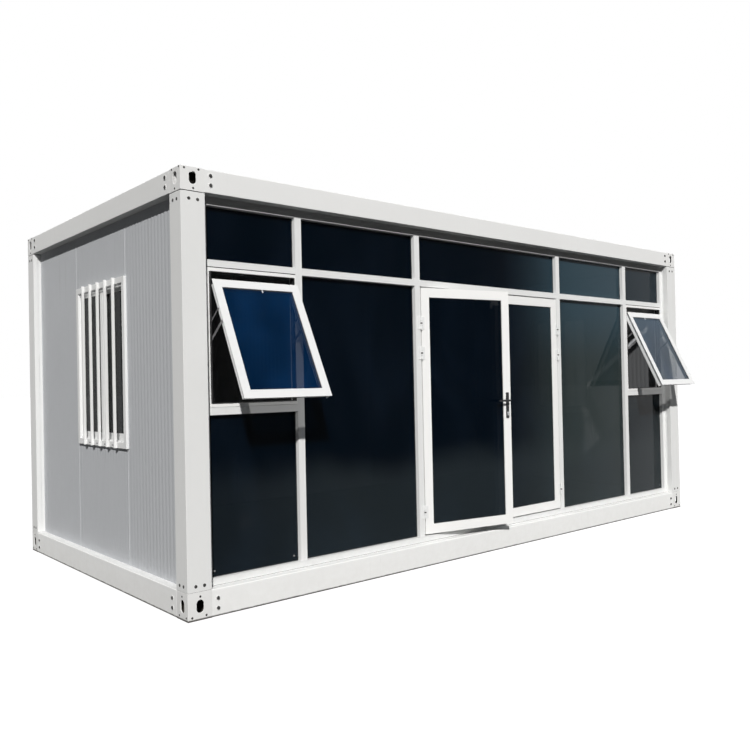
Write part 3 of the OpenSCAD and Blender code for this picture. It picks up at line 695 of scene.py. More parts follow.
def corner_spots(face, spots):
    """Spots as (in from the corner, height), on the long or the end faces at all four
    corners. Gives each place and its outward direction."""
    for side_x, side_y in corners:
        for along, z in spots:
            if face == "long":
                yield Vector((side_x * (half_l - along), side_y * half_w, z)), Vector((0, side_y, 0))
            else:
                yield Vector((side_x * half_l, side_y * (half_w - along), z)), Vector((side_x, 0, 0))


def frame_fasteners():
    """Bolts that hold the beams and posts to the castings, and near-black studs in the castings, whose
    black paints the shade of small holes.
    """
    bolts = [
        (0.0, "long", [(0.207, 2.763), (0.207, 2.703), (0.207, 0.115), (0.207, 0.053)]),
        (0.0, "end", [(0.204, 2.763), (0.204, 2.703), (0.204, 0.115), (0.204, 0.053)]),
        (post_step, "long", [(0.056, 2.602), (0.116, 2.601), (0.056, 0.211), (0.115, 0.210)]),
        (post_step, "end", [(0.052, 2.600), (0.104, 2.600), (0.052, 0.211), (0.104, 0.211)]),
    ]
    hole_studs = [
        ("long", [(0.028, 2.788), (0.126, 2.789), (0.087, 2.669),
                  (0.085, 0.146), (0.028, 0.024), (0.125, 0.025)]),
        ("end", [(0.018, 2.794), (0.114, 2.793), (0.075, 2.668),
                 (0.075, 0.146), (0.022, 0.024), (0.114, 0.025)]),
    ]
    washer_t = 0.0020
    washer_r = 0.0155
    head_t = 0.0052
    head_r = 0.0115
    crown_r = 0.0095
    sunk = 0.0002
    stud_rim = (0.0072, 0.0012, 0.0066)
    stud_dome = (0.0050, 0.0014, 0.0026)
    washers = bmesh.new()
    heads = bmesh.new()
    pins = bmesh.new()
    for back, face, spots in bolts:
        for foot, out in corner_spots(face, spots):
            foot = foot - back * out
            add_drum(washers, foot, out, washer_r, washer_t, washer_r - 0.0007)
            foot = foot + (washer_t - sunk) * out
            add_drum(heads, foot, out, head_r, head_t, segments=6)
            add_drum(heads, foot + (head_t - sunk) * out, out, crown_r, 0.0012, crown_r - 0.0017, 12)
    # Studs whose near-black paints the shade inside small holes in the castings
    for face, spots in hole_studs:
        for foot, out in corner_spots(face, spots):
            add_studs(pins, foot, out, stud_rim, stud_dome, 16)
    finish_piece(washers, "frame_bolt_washers", steel_paint, "frame_steel")
    finish_piece(heads, "frame_bolt_heads", dark_bolt, "handle_black")
    finish_piece(pins, "casting_hole_studs", dark_bolt, "handle_black")


frame_fasteners()


# ---------------------------------------------------------------- wall panels
rib_pitch = 0.050
groove_w = 0.030
groove_foot = 0.016
groove_d = 0.0021
edge_w = 0.0035
edge_d = 0.0040
back_panels = 6


def cut_skin(bm, skin, spot, across):
    """Cuts a skin along a plane through spot, and gives its faces."""
    geom = list({g for f in skin for g in (f, *f.edges, *f.verts)})
    return faces_of(bmesh.ops.bisect_plane(bm, geom=geom, plane_co=spot, plane_no=across)["geom"])


def add_panel(bm, x0, x1, hole=None):
    """A wall panel with shallow upright box ribs in both skins. Its outer face is at y = 0,
    and hole is (x0, z0, z1) of an opening that runs to the panel's high-x edge."""
    span = x1 - x0 - 2 * edge_w
    count = round(span / rib_pitch)
    pitch = span / count
    line = [(x0, edge_d), (x0 + edge_w, 0)]
    for i in range(count):
        middle = x0 + edge_w + (i + 0.5) * pitch
        line += [(middle - groove_w / 2, 0), (middle - groove_foot / 2, groove_d),
                 (middle + groove_foot / 2, groove_d), (middle + groove_w / 2, 0)]
    line += [(x1 - edge_w, 0), (x1, edge_d)]
    row = [bm.verts.new((x, y, wall_z0)) for x, y in line]
    edges = [bm.edges.new(pair) for pair in zip(row, row[1:])]
    grown = bmesh.ops.extrude_edge_only(bm, edges=edges)["geom"]
    bmesh.ops.translate(bm, vec=(0, 0, wall_z1 - wall_z0), verts=verts_of(grown))
    skin = faces_of(grown)
    if hole:
        x, low, high = hole
        skin = cut_skin(bm, skin, (0, 0, low), (0, 0, 1))
        skin = cut_skin(bm, skin, (0, 0, high), (0, 0, 1))
        skin = cut_skin(bm, skin, (x, 0, 0), (1, 0, 0))
        middles = {f: f.calc_center_median() for f in skin}
        inside = [f for f, middle in middles.items() if middle.x > x and low < middle.z < high]
        skin = [f for f in skin if f not in inside]
        bmesh.ops.delete(bm, geom=inside, context="FACES")
    grown = bmesh.ops.extrude_face_region(bm, geom=skin)["geom"]
    inner = Matrix.Translation((0, -wall_t / 2, 0))
    bmesh.ops.scale(bm, vec=(1, -1, 1), space=inner, verts=verts_of(grown))


def end_wall(side):
    """The three panels of an end wall. x runs towards the front of the cabin."""
    turned = ends[side] @ Matrix.Translation((0, wall_out, 0))
    wall_x0 = -half_w + post_y - post_step
    wall_x1 = half_w - post_y + post_step
    hole_x0 = window_middle - (window_w - 2 * window_cover) / 2
    hole_x1 = window_middle + (window_w - 2 * window_cover) / 2
    joint_x = hole_x0 - window_margin
    sides = bmesh.new()
    add_panel(sides, hole_x1 + panel_joint, wall_x1)
    add_panel(sides, wall_x0, joint_x - panel_joint)
    finish_piece(sides, f"{side}_wall_panels", panel_paint, "wall_panel",
                 stands_for=(f"{side}_wall_side_panels",), matrix=turned)
    middle = bmesh.new()
    add_panel(middle, joint_x, hole_x1, (hole_x0, window_z0 + window_cover, window_z1 - window_cover))
    finish_piece(middle, f"{side}_window_wall", panel_paint, "wall_panel",
                 stands_for=(f"{side}_wall_window_panel",), matrix=turned)


def long_back_wall():
    """Plain panels side by side between the back posts."""
    span = 2 * (half_l - post_x + post_step)
    pitch = span / back_panels
    bm = bmesh.new()
    for i in range(back_panels):
        x0 = -span / 2 + i * pitch + panel_joint / 2
        add_panel(bm, x0, x0 + pitch - panel_joint)
    finish_piece(bm, "back_wall_skins", panel_paint, "wall_panel", stands_for=("back_wall_panels",),
                 matrix=back_wall @ Matrix.Translation((0, wall_out, 0)))


for side in ends:
    end_wall(side)
long_back_wall()


# ---------------------------------------------------------------- floor and ceiling
def strips(node, name, finish, slot, axis, width, gap, edge):
    """Boards or ceiling strips laid side by side along an axis, in the space of a sheet."""
    low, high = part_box(node)
    count = round((high[axis] - low[axis]) / width)
    step = (high[axis] - low[axis]) / count
    post_in = 0.022
    laid = []
    for i in range(count):
        near = low.copy()
        far = high.copy()
        near[axis] = low[axis] + i * step + gap / 2
        far[axis] = low[axis] + (i + 1) * step - gap / 2
        if i in (0, count - 1):
            near[1 - axis] += post_in
            far[1 - axis] -= post_in
        laid.append((near, far))
    block_piece(laid, edge, name, finish, slot, stands_for=(node,))


strips("floor_deck", "floor_boards", floor_board, "floor_board", 1, 0.195, 0.0006, 0.0009)
strips("ceiling_sheet", "ceiling_strips", ceiling_paint, "wall_panel", 0, 0.190, 0.0010, 0.0020)


# ---------------------------------------------------------------- end windows
window_in_w = window_w - 2 * window_face
slider_w = (window_in_w + slider_stile) / 2
seal_t = 0.0030
slider_seal_w = 0.0040
slider_seal_flat = 0.0022
guide_in = 0.013
guide_t = 0.003
drain_w = 0.024
drain_h = 0.006
latch_w = 0.024
latch_half = 0.045
screw_in = 0.022
bar_w = 0.016
bar_d = 0.020
bar_pitch = 0.1485
bar_xs = [window_middle + (i - 2) * bar_pitch for i in range(5)]
drain_xs = [window_middle + (i - 1.5) * bar_pitch for i in range(4)]


def slider_glass_area(number):
    """Corners of the glass of sliding sash 0 or 1 and the depth of the sash's face."""
    middle = window_middle + (number * 2 - 1) * (window_in_w - slider_w) / 2
    x0 = middle - slider_w / 2 + slider_stile
    x1 = middle + slider_w / 2 - slider_stile
    z0 = window_z0 + window_face + slider_foot
    z1 = window_z1 - window_face - slider_head
    return (x0, z0), (x1, z1), window_y + slider_in + number * (slider_t + slider_gap)


def end_window_parts(side):
    """Seals round the glass, security bars with their screws, guides for the sashes, drain
    caps, and the inside latch."""
    turned = ends[side]
    seals = bmesh.new()
    for number in (0, 1):
        low, high, depth = slider_glass_area(number)
        outer = depth + (slider_t - slider_glass_t) / 2
        inner = outer + slider_glass_t
        for near, far in ((outer - seal_t, outer), (inner, inner + seal_t)):
            add_ring(seals, low, high, [
                (0, far), (0, near), (slider_seal_flat, near),
                (slider_seal_w, (near + far) / 2), (slider_seal_w, far)])
    finish_piece(seals, f"{side}_window_seals", rubber, "dark_glass", matrix=turned)

    bar_y = window_y - bar_d
    bars = [block_about(x, bar_w, bar_y, bar_y + bar_d, window_z0 - 0.0005, window_z1 + 0.004)
            for x in bar_xs]
    block_piece(bars, 0.0018, f"{side}_security_bars", bar_paint, "white_profile", matrix=turned)

    guide_y = window_y + guide_in
    x0 = window_x0 + window_face
    x1 = window_x1 - window_face
    head = window_z1 - window_face
    foot = window_z0 + window_face
    guides = [((x0, guide_y, head - 0.021), (x1, guide_y + guide_t, head + 0.001)),
              ((x0, guide_y, foot - 0.001), (x1, guide_y + guide_t, foot + 0.012))]
    block_piece(guides, 0.0007, f"{side}_window_guides", profile_paint, "white_profile", matrix=turned)

    near = window_y - 0.0008
    far = window_y + 0.001
    z = window_z0 + 0.015
    drains = [block_about(x, drain_w, near, far, z, z + drain_h) for x in drain_xs]
    block_piece(drains, 0.0005, f"{side}_window_drains", nylon, "handle_black", matrix=turned)

    z = (window_z0 + window_z1) / 2
    back = window_y + slider_in + 2 * slider_t + slider_gap
    case = back + 0.010
    latch = [block_about(window_middle, latch_w, back, case, z - latch_half, z + latch_half),
             block_about(window_middle, latch_w / 2, case, back + 0.022, z - 0.010, z + 0.034)]
    block_piece(latch, 0.0022, f"{side}_window_latch", handle_black, "handle_black", matrix=turned)

    screws = bmesh.new()
    screw_rim = (0.0046, 0.0010, 0.0046)
    screw_dome = (0.0042, 0.0014, 0.0022)
    for x in bar_xs:
        for z in (window_z0 + screw_in, window_z1 - screw_in):
            add_studs(screws, (x, bar_y, z), (0, -1, 0), screw_rim, screw_dome, 14)
    finish_piece(screws, f"{side}_bar_screws", zinc, "stay_steel", matrix=turned)


for side in ends:
    end_window_parts(side)
rounded_copy("end_window_frames", "end_window_frame_profiles", profile_paint, "white_profile", 0.0014)
rounded_copy("end_window_sashes", "end_window_sash_profiles", profile_paint, "white_profile", 0.0014)


# ---------------------------------------------------------------- glazed front
seam_w = 0.0015
seam_d = 0.0011
seal_w = 0.0042
seal_flat = 0.0024
bead = 0.013
jamb_w = 0.060

# The fixed panes lap into the jambs, past the edge of the awning frames
jamb_lap = 0.011
pane_bays = [(bays[0][0] - jamb_lap, bays[0][1]), *bays[1:4], (bays[4][0], bays[4][1] + jamb_lap)]

# Shadow gaps beside the awning frames, with rubber in the one above
reveal_d = 0.0080
reveal_rubber = 0.0030
top_reveal = 0.0056
foot_reveal = 0.0016


def bar_section(face, seams, wide=1.0, low_gap=0.0, high_gap=0.0):
    """Section of a glazing bar, with a fine seam line in its face for each bead, and a
    shadow gap of the given width along either edge of its face."""
    line = [(0, reveal_d), (low_gap, reveal_d), (low_gap, 0)] if low_gap else [(0, 0)]
    for seam in seams:
        line += [(seam - seam_w * wide, 0), (seam, seam_d * wide), (seam + seam_w * wide, 0)]
    if high_gap:
        line += [(face - high_gap, 0), (face - high_gap, reveal_d), (face, reveal_d)]
    else:
        line += [(face, 0)]
    return line + [(face, glazing_t), (0, glazing_t)]


def lay_bars(node, name, finish, axis, runs):
    """Glazing bars that stand for a node. Each run is (edge, start, end, section)."""
    bm = bmesh.new()
    for edge, start, end, section in runs:
        moved = [(edge + across, front_y + depth) for across, depth in section]
        add_bar(bm, moved, axis, start, end)
    soften(bm, 0.0008, 80)
    finish_piece(bm, name, finish, "white_profile", stands_for=(node,))


def glazing_bars():
    """Head, sill, transoms, jambs and mullions, between the corner posts."""
    reach = half_l - post_x + post_step
    head_h = wall_z1 - head_z
    sill_h = sill_z - wall_z0
    transom_h = transom_z1 - transom_z0
    low_h = awning_z0 - low_transom_z0
    lay_bars("glazing_head", "glazing_head_bar", head_paint, "x", [
        (head_z, -reach, reach, bar_section(head_h, [bead + 0.003, 0.036], 1.8))])
    lay_bars("glazing_sill", "glazing_sill_bar", sill_paint, "x", [
        (wall_z0, -reach, reach, bar_section(sill_h, [0.010, sill_h - bead], 1.2))])
    cross = []
    for number, (x0, x1) in enumerate(pane_bays):
        beads = [bead, transom_h - bead] if number in wide_bays else [transom_h - bead]
        gap = top_reveal if number in end_bays else 0.0
        cross.append((transom_z0, x0, x1, bar_section(transom_h, beads, low_gap=gap)))
    for number in end_bays:
        section = bar_section(low_h, [bead, 0.031], high_gap=foot_reveal)
        cross.append((low_transom_z0, *pane_bays[number], section))
    lay_bars("glazing_transoms", "glazing_transom_bars", profile_paint, "x", cross)
    width = jamb_w - jamb_lap
    lay_bars("glazing_jambs", "glazing_jamb_bars", profile_paint, "z", [
        (-bay_out - jamb_w, sill_z, head_z, bar_section(width, [width - bead])),
        (bay_out + jamb_lap, sill_z, head_z, bar_section(width, [bead]))])
    section = bar_section(mullion_w, [bead, mullion_w - bead])
    lay_bars("glazing_mullions", "glazing_mullion_bars", profile_paint, "z", [
        (bay[1], sill_z, head_z, section) for bay in bays[:-1]])


def front_joints():
    """A thin rubber strip under the sill, and the rubber in the gap over each awning window."""
    reach = half_l - post_x + 0.004
    bm = bmesh.new()
    add_block(bm, (-reach, front_y - 0.0008, wall_z0 + 0.0001), (reach, front_y + 0.012, wall_z0 + 0.0017))
    for number in end_bays:
        x0, x1 = pane_bays[number]
        add_block(bm, (x0, front_y + reveal_rubber, transom_z0 + 0.0002),
                  (x1, front_y + reveal_d, transom_z0 + top_reveal - 0.0002))
    finish_piece(bm, "front_joint_rubbers", rubber, "dark_glass")


def add_glass_seals(bm, low, high, faces):
    """Rubber round a pane, on its outer and its inner face."""
    for glass, out in zip(faces, (-seal_t, seal_t)):
        add_ring(bm, low, high, [(0, glass), (0, glass + out), (seal_flat, glass + out),
                                 (seal_w, glass + out * 0.4), (seal_w, glass)])


def front_panes():
    """The fixed panes, with ground edges, rubber round them, and clips in the lower
    corners of the end bays."""
    top = []
    fixed = []
    seals = bmesh.new()
    clips = bmesh.new()
    areas = [(top, bay, transom_z1, head_z) for bay in pane_bays]
    areas += [(fixed, pane_bays[number], sill_z, low_transom_z0) for number in end_bays]
    areas += [(fixed, pane_bays[number], sill_z, transom_z0) for number in wide_bays]
    for glass, (x0, x1), z0, z1 in areas:
        glass.append(((x0 + edge_gap, glass_faces[0], z0 + edge_gap),
                      (x1 - edge_gap, glass_faces[1], z1 - edge_gap)))
        add_glass_seals(seals, (x0, z0), (x1, z1), glass_faces)
    clip_in = 0.034
    clip_z = sill_z + 0.037
    clip_t = 0.0030
    for number in end_bays:
        x0, x1 = pane_bays[number]
        for x in (x0 + clip_in, x1 - clip_in):
            add_drum(clips, (x, glass_faces[0], clip_z), (0, -1, 0), 0.0070, clip_t, 0.0062, 24)
            add_drum(clips, (x, glass_faces[0] - clip_t, clip_z), (0, -1, 0), 0.0036, 0.0012, 0.0026, 16)
    block_piece(top, 0.0012, "top_light_glass", pane_glass, "dark_glass", stands_for=("top_light_panes",))
    block_piece(fixed, 0.0012, "fixed_glass", pane_glass, "dark_glass", stands_for=("fixed_panes",))
    finish_piece(seals, "fixed_glass_seals", rubber, "dark_glass")
    finish_piece(clips, "glass_clips", stay_steel, "stay_steel")


glazing_bars()
front_joints()
front_panes()
rounded_copy("door_stop", "door_stop_strip", profile_paint, "white_profile", 0.0012)


# ---------------------------------------------------------------- awning windows
rounded_copy("awning_frames", "awning_frame_profiles", leaf_paint, "white_profile", 0.0012)

# A sash, seen from outside in the left bay, from the middle of the bay: a flange in
# front, and a deeper body behind it that leaves room for the stays
opening_half = (end_bay_w - 0.024) / 2
flange_x = (-0.3215, sash_w / 2)
flange_z = (0.007, sash_h)
flange_t = 0.005
body_half = opening_half - 0.014
body_z = (0.021, sash_h - 0.021)
bead_seam = 0.014
glass_low = (flange_x[0] + sash_face, flange_z[0] + sash_face)
glass_high = (flange_x[1] - sash_face, flange_z[1] - sash_face)
leaf_glass_faces = (leaf_glass_setback, leaf_glass_setback + leaf_glass_t)


def sash_place(bay):
    """Where a sash stands, mirrored in the right bay so that its jamb is outside."""
    middle = (bay[0] + bay[1]) / 2
    stand = (Matrix.Translation((middle, front_y - sash_out, sash_top_z))
             @ Matrix.Rotation(-sash_angle, 4, "X") @ Matrix.Translation((0, 0, -sash_h)))
    return stand @ mirror_x if middle > 0 else stand


def seamed_rim(face, front, back):
    """Section of a mitred profile with a bead seam, as steps of a ring."""
    seam = face - bead_seam
    return [(0, back), (0, front), (seam - seam_w, front), (seam, front + seam_d),
            (seam + seam_w, front), (face, front), (face, back)]


def sash_profiles():
    """One sash: mitred flange with a bead seam, body, glass clip, and a cover on its edge."""
    rim = body_half - glass_high[0]
    bm = bmesh.new()
    add_ring(bm, (flange_x[0], flange_z[0]), (flange_x[1], flange_z[1]), seamed_rim(sash_face, 0, flange_t))
    soften(bm, 0.0014, 80)
    body = bmesh.new()
    front = flange_t - 0.0005
    add_ring(body, (-body_half, body_z[0]), (body_half, body_z[1]), [
        (0, front), (0, sash_t), (rim, sash_t), (rim, front)])
    inner_edges = ((0, -body_half + rim, glass_low[0]),
                   (2, body_z[0] + rim, glass_low[1]), (2, body_z[1] - rim, glass_high[1]))
    for axis, edge, glass_edge in inner_edges:
        shift = Vector((0, 0, 0))
        shift[axis] = glass_edge - edge
        on_edge = [v for v in body.verts if abs(v.co[axis] - edge) < 0.0002]
        bmesh.ops.translate(body, vec=shift, verts=on_edge)
    soften(body, 0.0012, 80)
    join(bm, body)
    clip_x = 0.038
    top = glass_high[1]
    clip = block_about(clip_x, 0.005, 0.0015, 0.0102, top - 0.021, top + 0.0005)
    add_eased_block(bm, *clip, 0.0010)
    cover = bmesh.new()
    cover_x = 0.3245
    cover_t = 0.003
    near = 0.018
    far = 0.052
    foot = 0.012
    high = sash_h - 0.010
    side = [(foot, near), (foot, far), (high - 0.066, far), (high, near + 0.002), (high, near)]
    add_bar(cover, side, "x", cover_x, cover_x + cover_t)
    soften(cover, 0.0005, 30, 1)
    join(bm, cover)
    return bm


def stay_arms():
    """Friction stays of plain steel. The bar on each sash is coated like the sash."""
    middle = (bay_in + bay_out) / 2
    bm = merged_copy("awning_stays")
    soften(bm, 0.0004, 70, 1)
    for face in bm.faces:
        if abs(abs(face.calc_center_median().x) - middle) < body_half + 0.0036:
            face.material_index = 1
    finish_piece(bm, "awning_stay_arms", (stay_steel, sash_paint), "stay_steel",
                 stands_for=("awning_stays",), outwards=False)


lip_in = 0.0103
lip_t = 0.0035
lip_w = 0.0055
cover_near = 0.0024
cover_far = 0.0110
lining_t = 0.0012


def add_frame_rubbers(bm, bay, outer, inward):
    """The lip that the shut sash would press on, a cover strip on the jamb side, and the
    rubber that lines the opening."""
    inset = awning_face - 0.002
    lip_y = front_y - lip_t
    lip_low = (bay[0] + lip_in, awning_z0 + inset - 0.0015)
    lip_high = (bay[1] - lip_in, transom_z0 - inset + 0.0015)
    add_ring(bm, lip_low, lip_high, [(0, front_y), (0, lip_y), (lip_w - 0.0010, lip_y), (lip_w, front_y)])
    x0, x1 = sorted((outer + inward * cover_near, outer + inward * cover_far))
    add_eased_block(bm, (x0, front_y - 0.0022, awning_z0 + inset),
                    (x1, front_y + 0.0010, transom_z0 - inset), 0.0006)
    side_in = end_bay_w / 2 - opening_half
    near = front_y + 0.004
    far = front_y + 0.046
    add_ring(bm, (bay[0] + side_in, awning_z0 + awning_face), (bay[1] - side_in, transom_z0 - awning_face),
             [(0, near), (lining_t, near), (lining_t + 0.0004, near + 0.003),
              (lining_t, near + 0.006), (lining_t, far), (0, far)])


def awning_parts():
    """Both open sashes with their glass and rubber, and the rubbers and side fillets of
    the frames they hang in."""
    profiles = bmesh.new()
    glass = bmesh.new()
    seals = bmesh.new()
    rubbers = bmesh.new()
    fillets = bmesh.new()
    for number in end_bays:
        bay = bays[number]
        stand = sash_place(bay)
        join(profiles, sash_profiles(), stand)
        low = (glass_low[0] + edge_gap, leaf_glass_faces[0], glass_low[1] + edge_gap)
        high = (glass_high[0] - edge_gap, leaf_glass_faces[1], glass_high[1] - edge_gap)
        add_eased_block(glass, low, high, 0.0012, stand)
        round_glass = bmesh.new()
        add_glass_seals(round_glass, glass_low, glass_high, leaf_glass_faces)
        join(seals, round_glass, stand)
        outer = max(bay, key=abs)
        inward = -math.copysign(1, outer)
        add_frame_rubbers(rubbers, bay, outer, inward)
        x0, x1 = sorted((outer, outer - inward * jamb_lap))
        add_eased_block(fillets, (x0, front_y, awning_z0), (x1, front_y + glazing_t, transom_z0), 0.0008)
    finish_piece(profiles, "awning_sash_profiles", sash_paint, "white_profile",
                 stands_for=("awning_sashes",))
    finish_piece(glass, "awning_sash_glass", sash_glass, "dark_glass", stands_for=("awning_panes",))
    finish_piece(seals, "awning_glass_seals", rubber, "dark_glass")
    finish_piece(rubbers, "awning_frame_seals", rubber, "dark_glass")
    finish_piece(fillets, "awning_side_fillets", leaf_paint, "white_profile")


stay_arms()
awning_parts()


# ---------------------------------------------------------------- doors
def leaf_profiles(name, body, node, matrix):
    """A door leaf: mitred profiles with a bead seam round the glass."""
    x0 = -leaf_hinge_x
    x1 = -leaf_meet_gap / 2
    bm = bmesh.new()
    add_ring(bm, (x0, leaf_z0), (x1, leaf_z1), seamed_rim(leaf_face, front_y, front_y + leaf_t))
    soften(bm, 0.0016, 80)
    finish_piece(bm, name, leaf_paint, "white_profile", body, (node,), matrix)
    seals = bmesh.new()
    add_glass_seals(seals, (x0 + leaf_face, leaf_z0 + leaf_face), (x1 - leaf_face, leaf_z1 - leaf_face),
                    [front_y + depth for depth in leaf_glass_faces])
    finish_piece(seals, f"{name}_seals", rubber, "dark_glass", body, matrix=matrix)


def knuckles(node, body):
    """Hinge knuckles of the frame or of a door, with eased edges."""
    rounded_copy(node, f"{node[:-1]}_knuckles", profile_paint, "hinge_white", 0.0006, body, 60)


leaf_profiles("left_door_profiles", "left_door", "left_door_leaf", ajar)
leaf_profiles("right_door_profiles", "right_door", "right_door_leaf", mirror_x)
knuckles("frame_hinges", "root")
knuckles("left_door_hinges", "left_door")
knuckles("right_door_hinges", "right_door")


def hinge_details():
    """Domed caps on the hinge pins, nylon washers in the gaps, and a black sleeve round
    each middle knuckle, which turns with its door."""
    knuckle_r = 0.008
    middle_h = 0.038
    sleeve_h = 0.0110
    cap_rim = (0.0072, 0.0016, 0.0072)
    cap_dome = (0.0072, 0.0024, 0.0034)
    caps = bmesh.new()
    washers = bmesh.new()
    for side, body in ((-1, "left_door"), (1, "right_door")):
        x = side * hinge_x
        sleeves = bmesh.new()
        for z in hinge_zs:
            for up in (-1, 1):
                end = (x, hinge_y, z + up * hinge_h / 2)
                add_studs(caps, end, (0, 0, up), cap_rim, cap_dome, 20)
                gap = z + up * (middle_h / 2 + 0.0001)
                add_drum(washers, (x, hinge_y, gap), (0, 0, up), knuckle_r + 0.0002, 0.0008)
            foot = (x, hinge_y, z - sleeve_h / 2)
            add_drum(sleeves, foot, (0, 0, 1), knuckle_r + 0.0003, sleeve_h, segments=40)
        soften(sleeves, 0.0003, 70, 1)
        finish_piece(sleeves, f"{body}_hinge_sleeves", nylon, "handle_black", body)
    soften(caps, 0.0004, 70)
    finish_piece(caps, "hinge_pin_caps", profile_paint, "hinge_white")
    finish_piece(washers, "hinge_washers", nylon, "handle_black")


hinge_details()

plate_w = 0.028
plate_h = 0.215
plate_y = front_y - 0.008
plate_z0 = lever_z - 0.040 - plate_h / 2
grip_y = front_y - 0.050
grip_l = 0.120
neck_r = 0.008
both_faces = (Matrix.Identity(4), Matrix.Translation((0, 2 * front_y + leaf_t, 0)) @ mirror_y)


def push(bm, face, run, scale=1.0):
    """Draws a face out along run, scaled about its middle, and gives the face at its end."""
    grown = bmesh.ops.extrude_face_region(bm, geom=[face])["geom"]
    bmesh.ops.delete(bm, geom=[face], context="FACES_ONLY")
    end = faces_of(grown)[0]
    middle = Matrix.Translation(-end.calc_center_median())
    bmesh.ops.scale(bm, vec=(1, scale, scale), space=middle, verts=verts_of(grown))
    bmesh.ops.translate(bm, vec=run, verts=verts_of(grown))
    return end


def handle_plate():
    """A plate with rounded corners, the rose of the lever and two screws."""
    corner_r = 0.007
    plate_screw_in = 0.012
    bm = bmesh.new()
    add_block(bm, (handle_x - plate_w / 2, plate_y, plate_z0),
              (handle_x + plate_w / 2, front_y, plate_z0 + plate_h))
    upright = [e for e in bm.edges if abs(e.verts[0].co.y - e.verts[1].co.y) > 0.001]
    bevel(bm, upright, corner_r, 5)
    rim = [e for e in bm.edges if all(v.co.y < plate_y + same_spot for v in e.verts)]
    bevel(bm, rim, 0.0018, 3)
    add_drum(bm, (handle_x, plate_y, lever_z), (0, -1, 0), 0.0128, 0.0024, 0.0116, 28)
    for z in (plate_z0 + plate_screw_in, plate_z0 + plate_h - plate_screw_in):
        add_drum(bm, (handle_x, plate_y, z), (0, -1, 0), 0.0042, 0.0010, 0.0032, 16)
    bmesh.ops.recalc_face_normals(bm, faces=bm.faces)
    return bm


def lock_core():
    """The end of a cylinder lock: its round core and the foot of its body."""
    bm = bmesh.new()
    add_drum(bm, (handle_x, plate_y + 0.0005, lock_z), (0, -1, 0), 0.0085, 0.0025, 0.0080, 28)
    add_block(bm, (handle_x - 0.005, plate_y - 0.0016, lock_z - 0.0240),
              (handle_x + 0.005, plate_y + 0.0005, lock_z - 0.004))
    return bm


def lever_grip():
    """A lever on the outer face: a neck out of its plate, a bend, and a tapered grip
    that points towards the hinges."""
    bm = bmesh.new()
    start = Vector((handle_x, plate_y + 0.002, lever_z))
    bend = 0.013
    turn = Matrix.Translation(start) @ Matrix.Rotation(math.radians(90), 4, "X")
    made = bmesh.ops.create_circle(bm, cap_ends=True, segments=28, radius=neck_r, matrix=turn)
    face = made["verts"][0].link_faces[0]
    face = push(bm, face, (0, grip_y + bend - start.y, 0))
    hub = Vector((handle_x - bend, grip_y + bend, lever_z))
    made = bmesh.ops.spin(bm, geom=[face], cent=hub, axis=(0, 0, 1), dvec=(0, 0, 0),
                          angle=math.radians(-90), steps=7, use_merge=False)
    face = faces_of(made["geom_last"])[0]
    for share, scale in ((0.30, 1.04), (0.35, 1.0), (0.28, 0.94), (0.07, 0.80)):
        face = push(bm, face, (-share * (grip_l - bend), 0, 0), scale)
    return bm


def door_handle():
    """Plates, cylinder lock and levers on both faces of the left door's stile."""
    plates = bmesh.new()
    cores = bmesh.new()
    levers = bmesh.new()
    for face in both_faces:
        join(plates, handle_plate(), face)
        join(cores, lock_core(), face)
        join(levers, lever_grip(), face)
    finish_piece(plates, "handle_plate_pair", handle_black, "handle_black", "left_door",
                 ("handle_plates",), ajar)
    finish_piece(cores, "lock_cylinder_ends", zinc, "stay_steel", "left_door", matrix=ajar)
    finish_piece(levers, "door_lever_grips", handle_black, "handle_black", "lever", ("door_lever",), ajar)


door_handle()

kept_glass = {"left_door_glass": leaf_glass, "right_door_glass": leaf_glass,
              "end_window_panes": window_glass}
for node, glass in kept_glass.items():
    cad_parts[node].data.materials.clear()
    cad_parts[node].data.materials.append(glass)


# ---------------------------------------------------------------- stage, light, camera
def stage_floor():
    """A pale floor just under the cabin, that shows white with its soft shadow on it."""
    reach = 150
    bm = bmesh.new()
    under = Matrix.Translation((0, 0, -0.0005))
    bmesh.ops.create_grid(bm, x_segments=1, y_segments=1, size=reach, matrix=under)
    mesh = bpy.data.meshes.new("stage_floor")
    bm.to_mesh(mesh)
    bm.free()
    finish = bpy.data.materials.new("stage_white")
    t = blank_tree(finish)
    pale = t.add("BsdfDiffuse", {"Color": (0.40, 0.40, 0.40)})
    glow = t.add("Emission", {"Color": (1, 1, 1), "Strength": 0.72})
    shown = t.add("AddShader", {0: pale.outputs[0], 1: glow.outputs[0]})
    bounced = t.add("BsdfDiffuse", {"Color": (0.10, 0.10, 0.10)})
    mix = t.add("MixShader", {0: t.seen(), 1: bounced.outputs[0], 2: shown.outputs[0]})
    t.add("OutputMaterial", {"Surface": mix.outputs[0]})
    mesh.materials.append(finish)
    floor = bpy.data.objects.new("stage_floor", mesh)
    bpy.context.scene.collection.objects.link(floor)


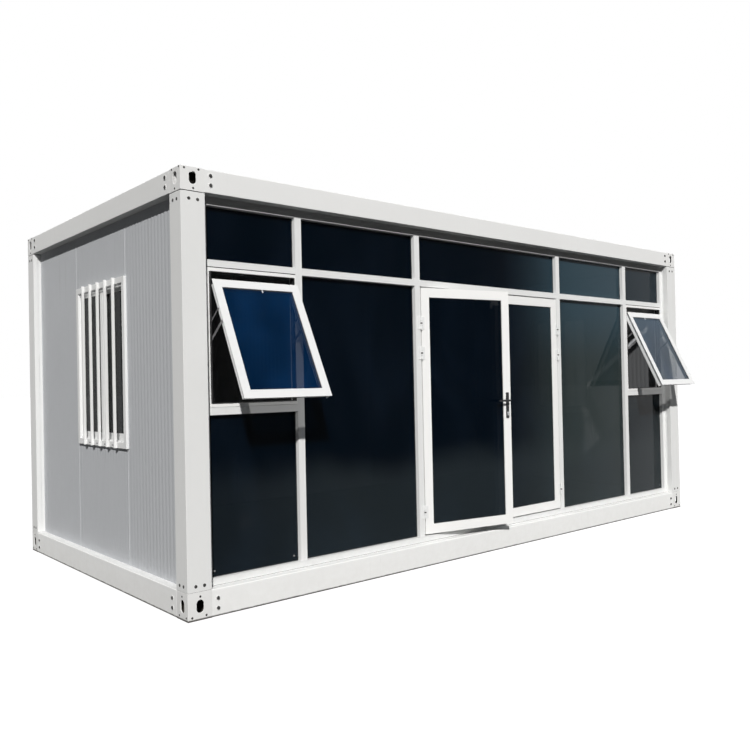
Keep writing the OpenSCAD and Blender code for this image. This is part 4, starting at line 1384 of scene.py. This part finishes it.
def world_light():
    """A soft sky, brighter overhead and behind the cabin and dimmer on the left. The eye
    sees plain white in its place."""
    world = bpy.data.worlds.new("studio")
    bpy.context.scene.world = world
    t = blank_tree(world)
    way = t.add("TexCoord").outputs["Generated"]
    up = t.add("SeparateXYZ", {"Vector": way}).outputs["Z"]
    behind = t.add("VectorMath", {0: way, 1: (0.62, 0.78, 0.0)}, operation="DOT_PRODUCT").outputs["Value"]
    left = t.add("VectorMath", {0: way, 1: (-1.0, 0.0, 0.0)}, operation="DOT_PRODUCT").outputs["Value"]
    sky = t.times(t.ramp(up, -0.1, 0.9, 0.030, 0.30), t.ramp(left, 0.05, 0.85, 1.0, 0.26))
    strength = t.plus(sky, t.ramp(behind, 0.25, 0.90, 0.0, 0.85))
    soft = t.add("Background", {"Color": (0.93, 0.96, 1.0), "Strength": strength})
    white = t.add("Background", {"Color": (1, 1, 1), "Strength": 1.0})
    mix = t.add("MixShader", {0: t.seen(), 1: soft.outputs[0], 2: white.outputs[0]})
    t.add("OutputWorld", {"Surface": mix.outputs[0]})


def key_light():
    """A sun from the left, in front of and above the cabin."""
    lamp = bpy.data.lights.new("key", "SUN")
    lamp.energy = 3.5
    lamp.angle = math.radians(1.6)
    lamp.color = (1.0, 0.985, 0.965)
    key = bpy.data.objects.new("key", lamp)
    key.rotation_euler = Vector((0.479, 0.693, -0.539)).to_track_quat("-Z", "Y").to_euler()
    bpy.context.scene.collection.objects.link(key)


def set_camera():
    """At eye height off the left front corner, turned to the middle of the front."""
    yaw = math.radians(40.58)
    pitch = math.radians(0.611)
    roll = math.radians(-1.198)
    ahead = Vector((math.sin(yaw) * math.cos(pitch), math.cos(yaw) * math.cos(pitch), math.sin(pitch)))
    right = Vector((math.cos(yaw), -math.sin(yaw), 0))
    up = right.cross(ahead)
    tilted_right = math.cos(roll) * right + math.sin(roll) * up
    tilted_up = -math.sin(roll) * right + math.cos(roll) * up
    lens = bpy.data.cameras.new("camera")
    lens.lens = 37.24
    lens.sensor_width = 36
    lens.clip_start = 0.05
    lens.clip_end = 500
    camera = bpy.data.objects.new("camera", lens)
    turn = Matrix((tilted_right, tilted_up, -ahead)).transposed().to_4x4()
    camera.matrix_world = Matrix.Translation((-5.168, -5.856, 1.436)) @ turn
    bpy.context.scene.collection.objects.link(camera)
    bpy.context.scene.camera = camera


stage_floor()
world_light()
key_light()
set_camera()
bpy.context.scene.view_settings.view_transform = "Standard"
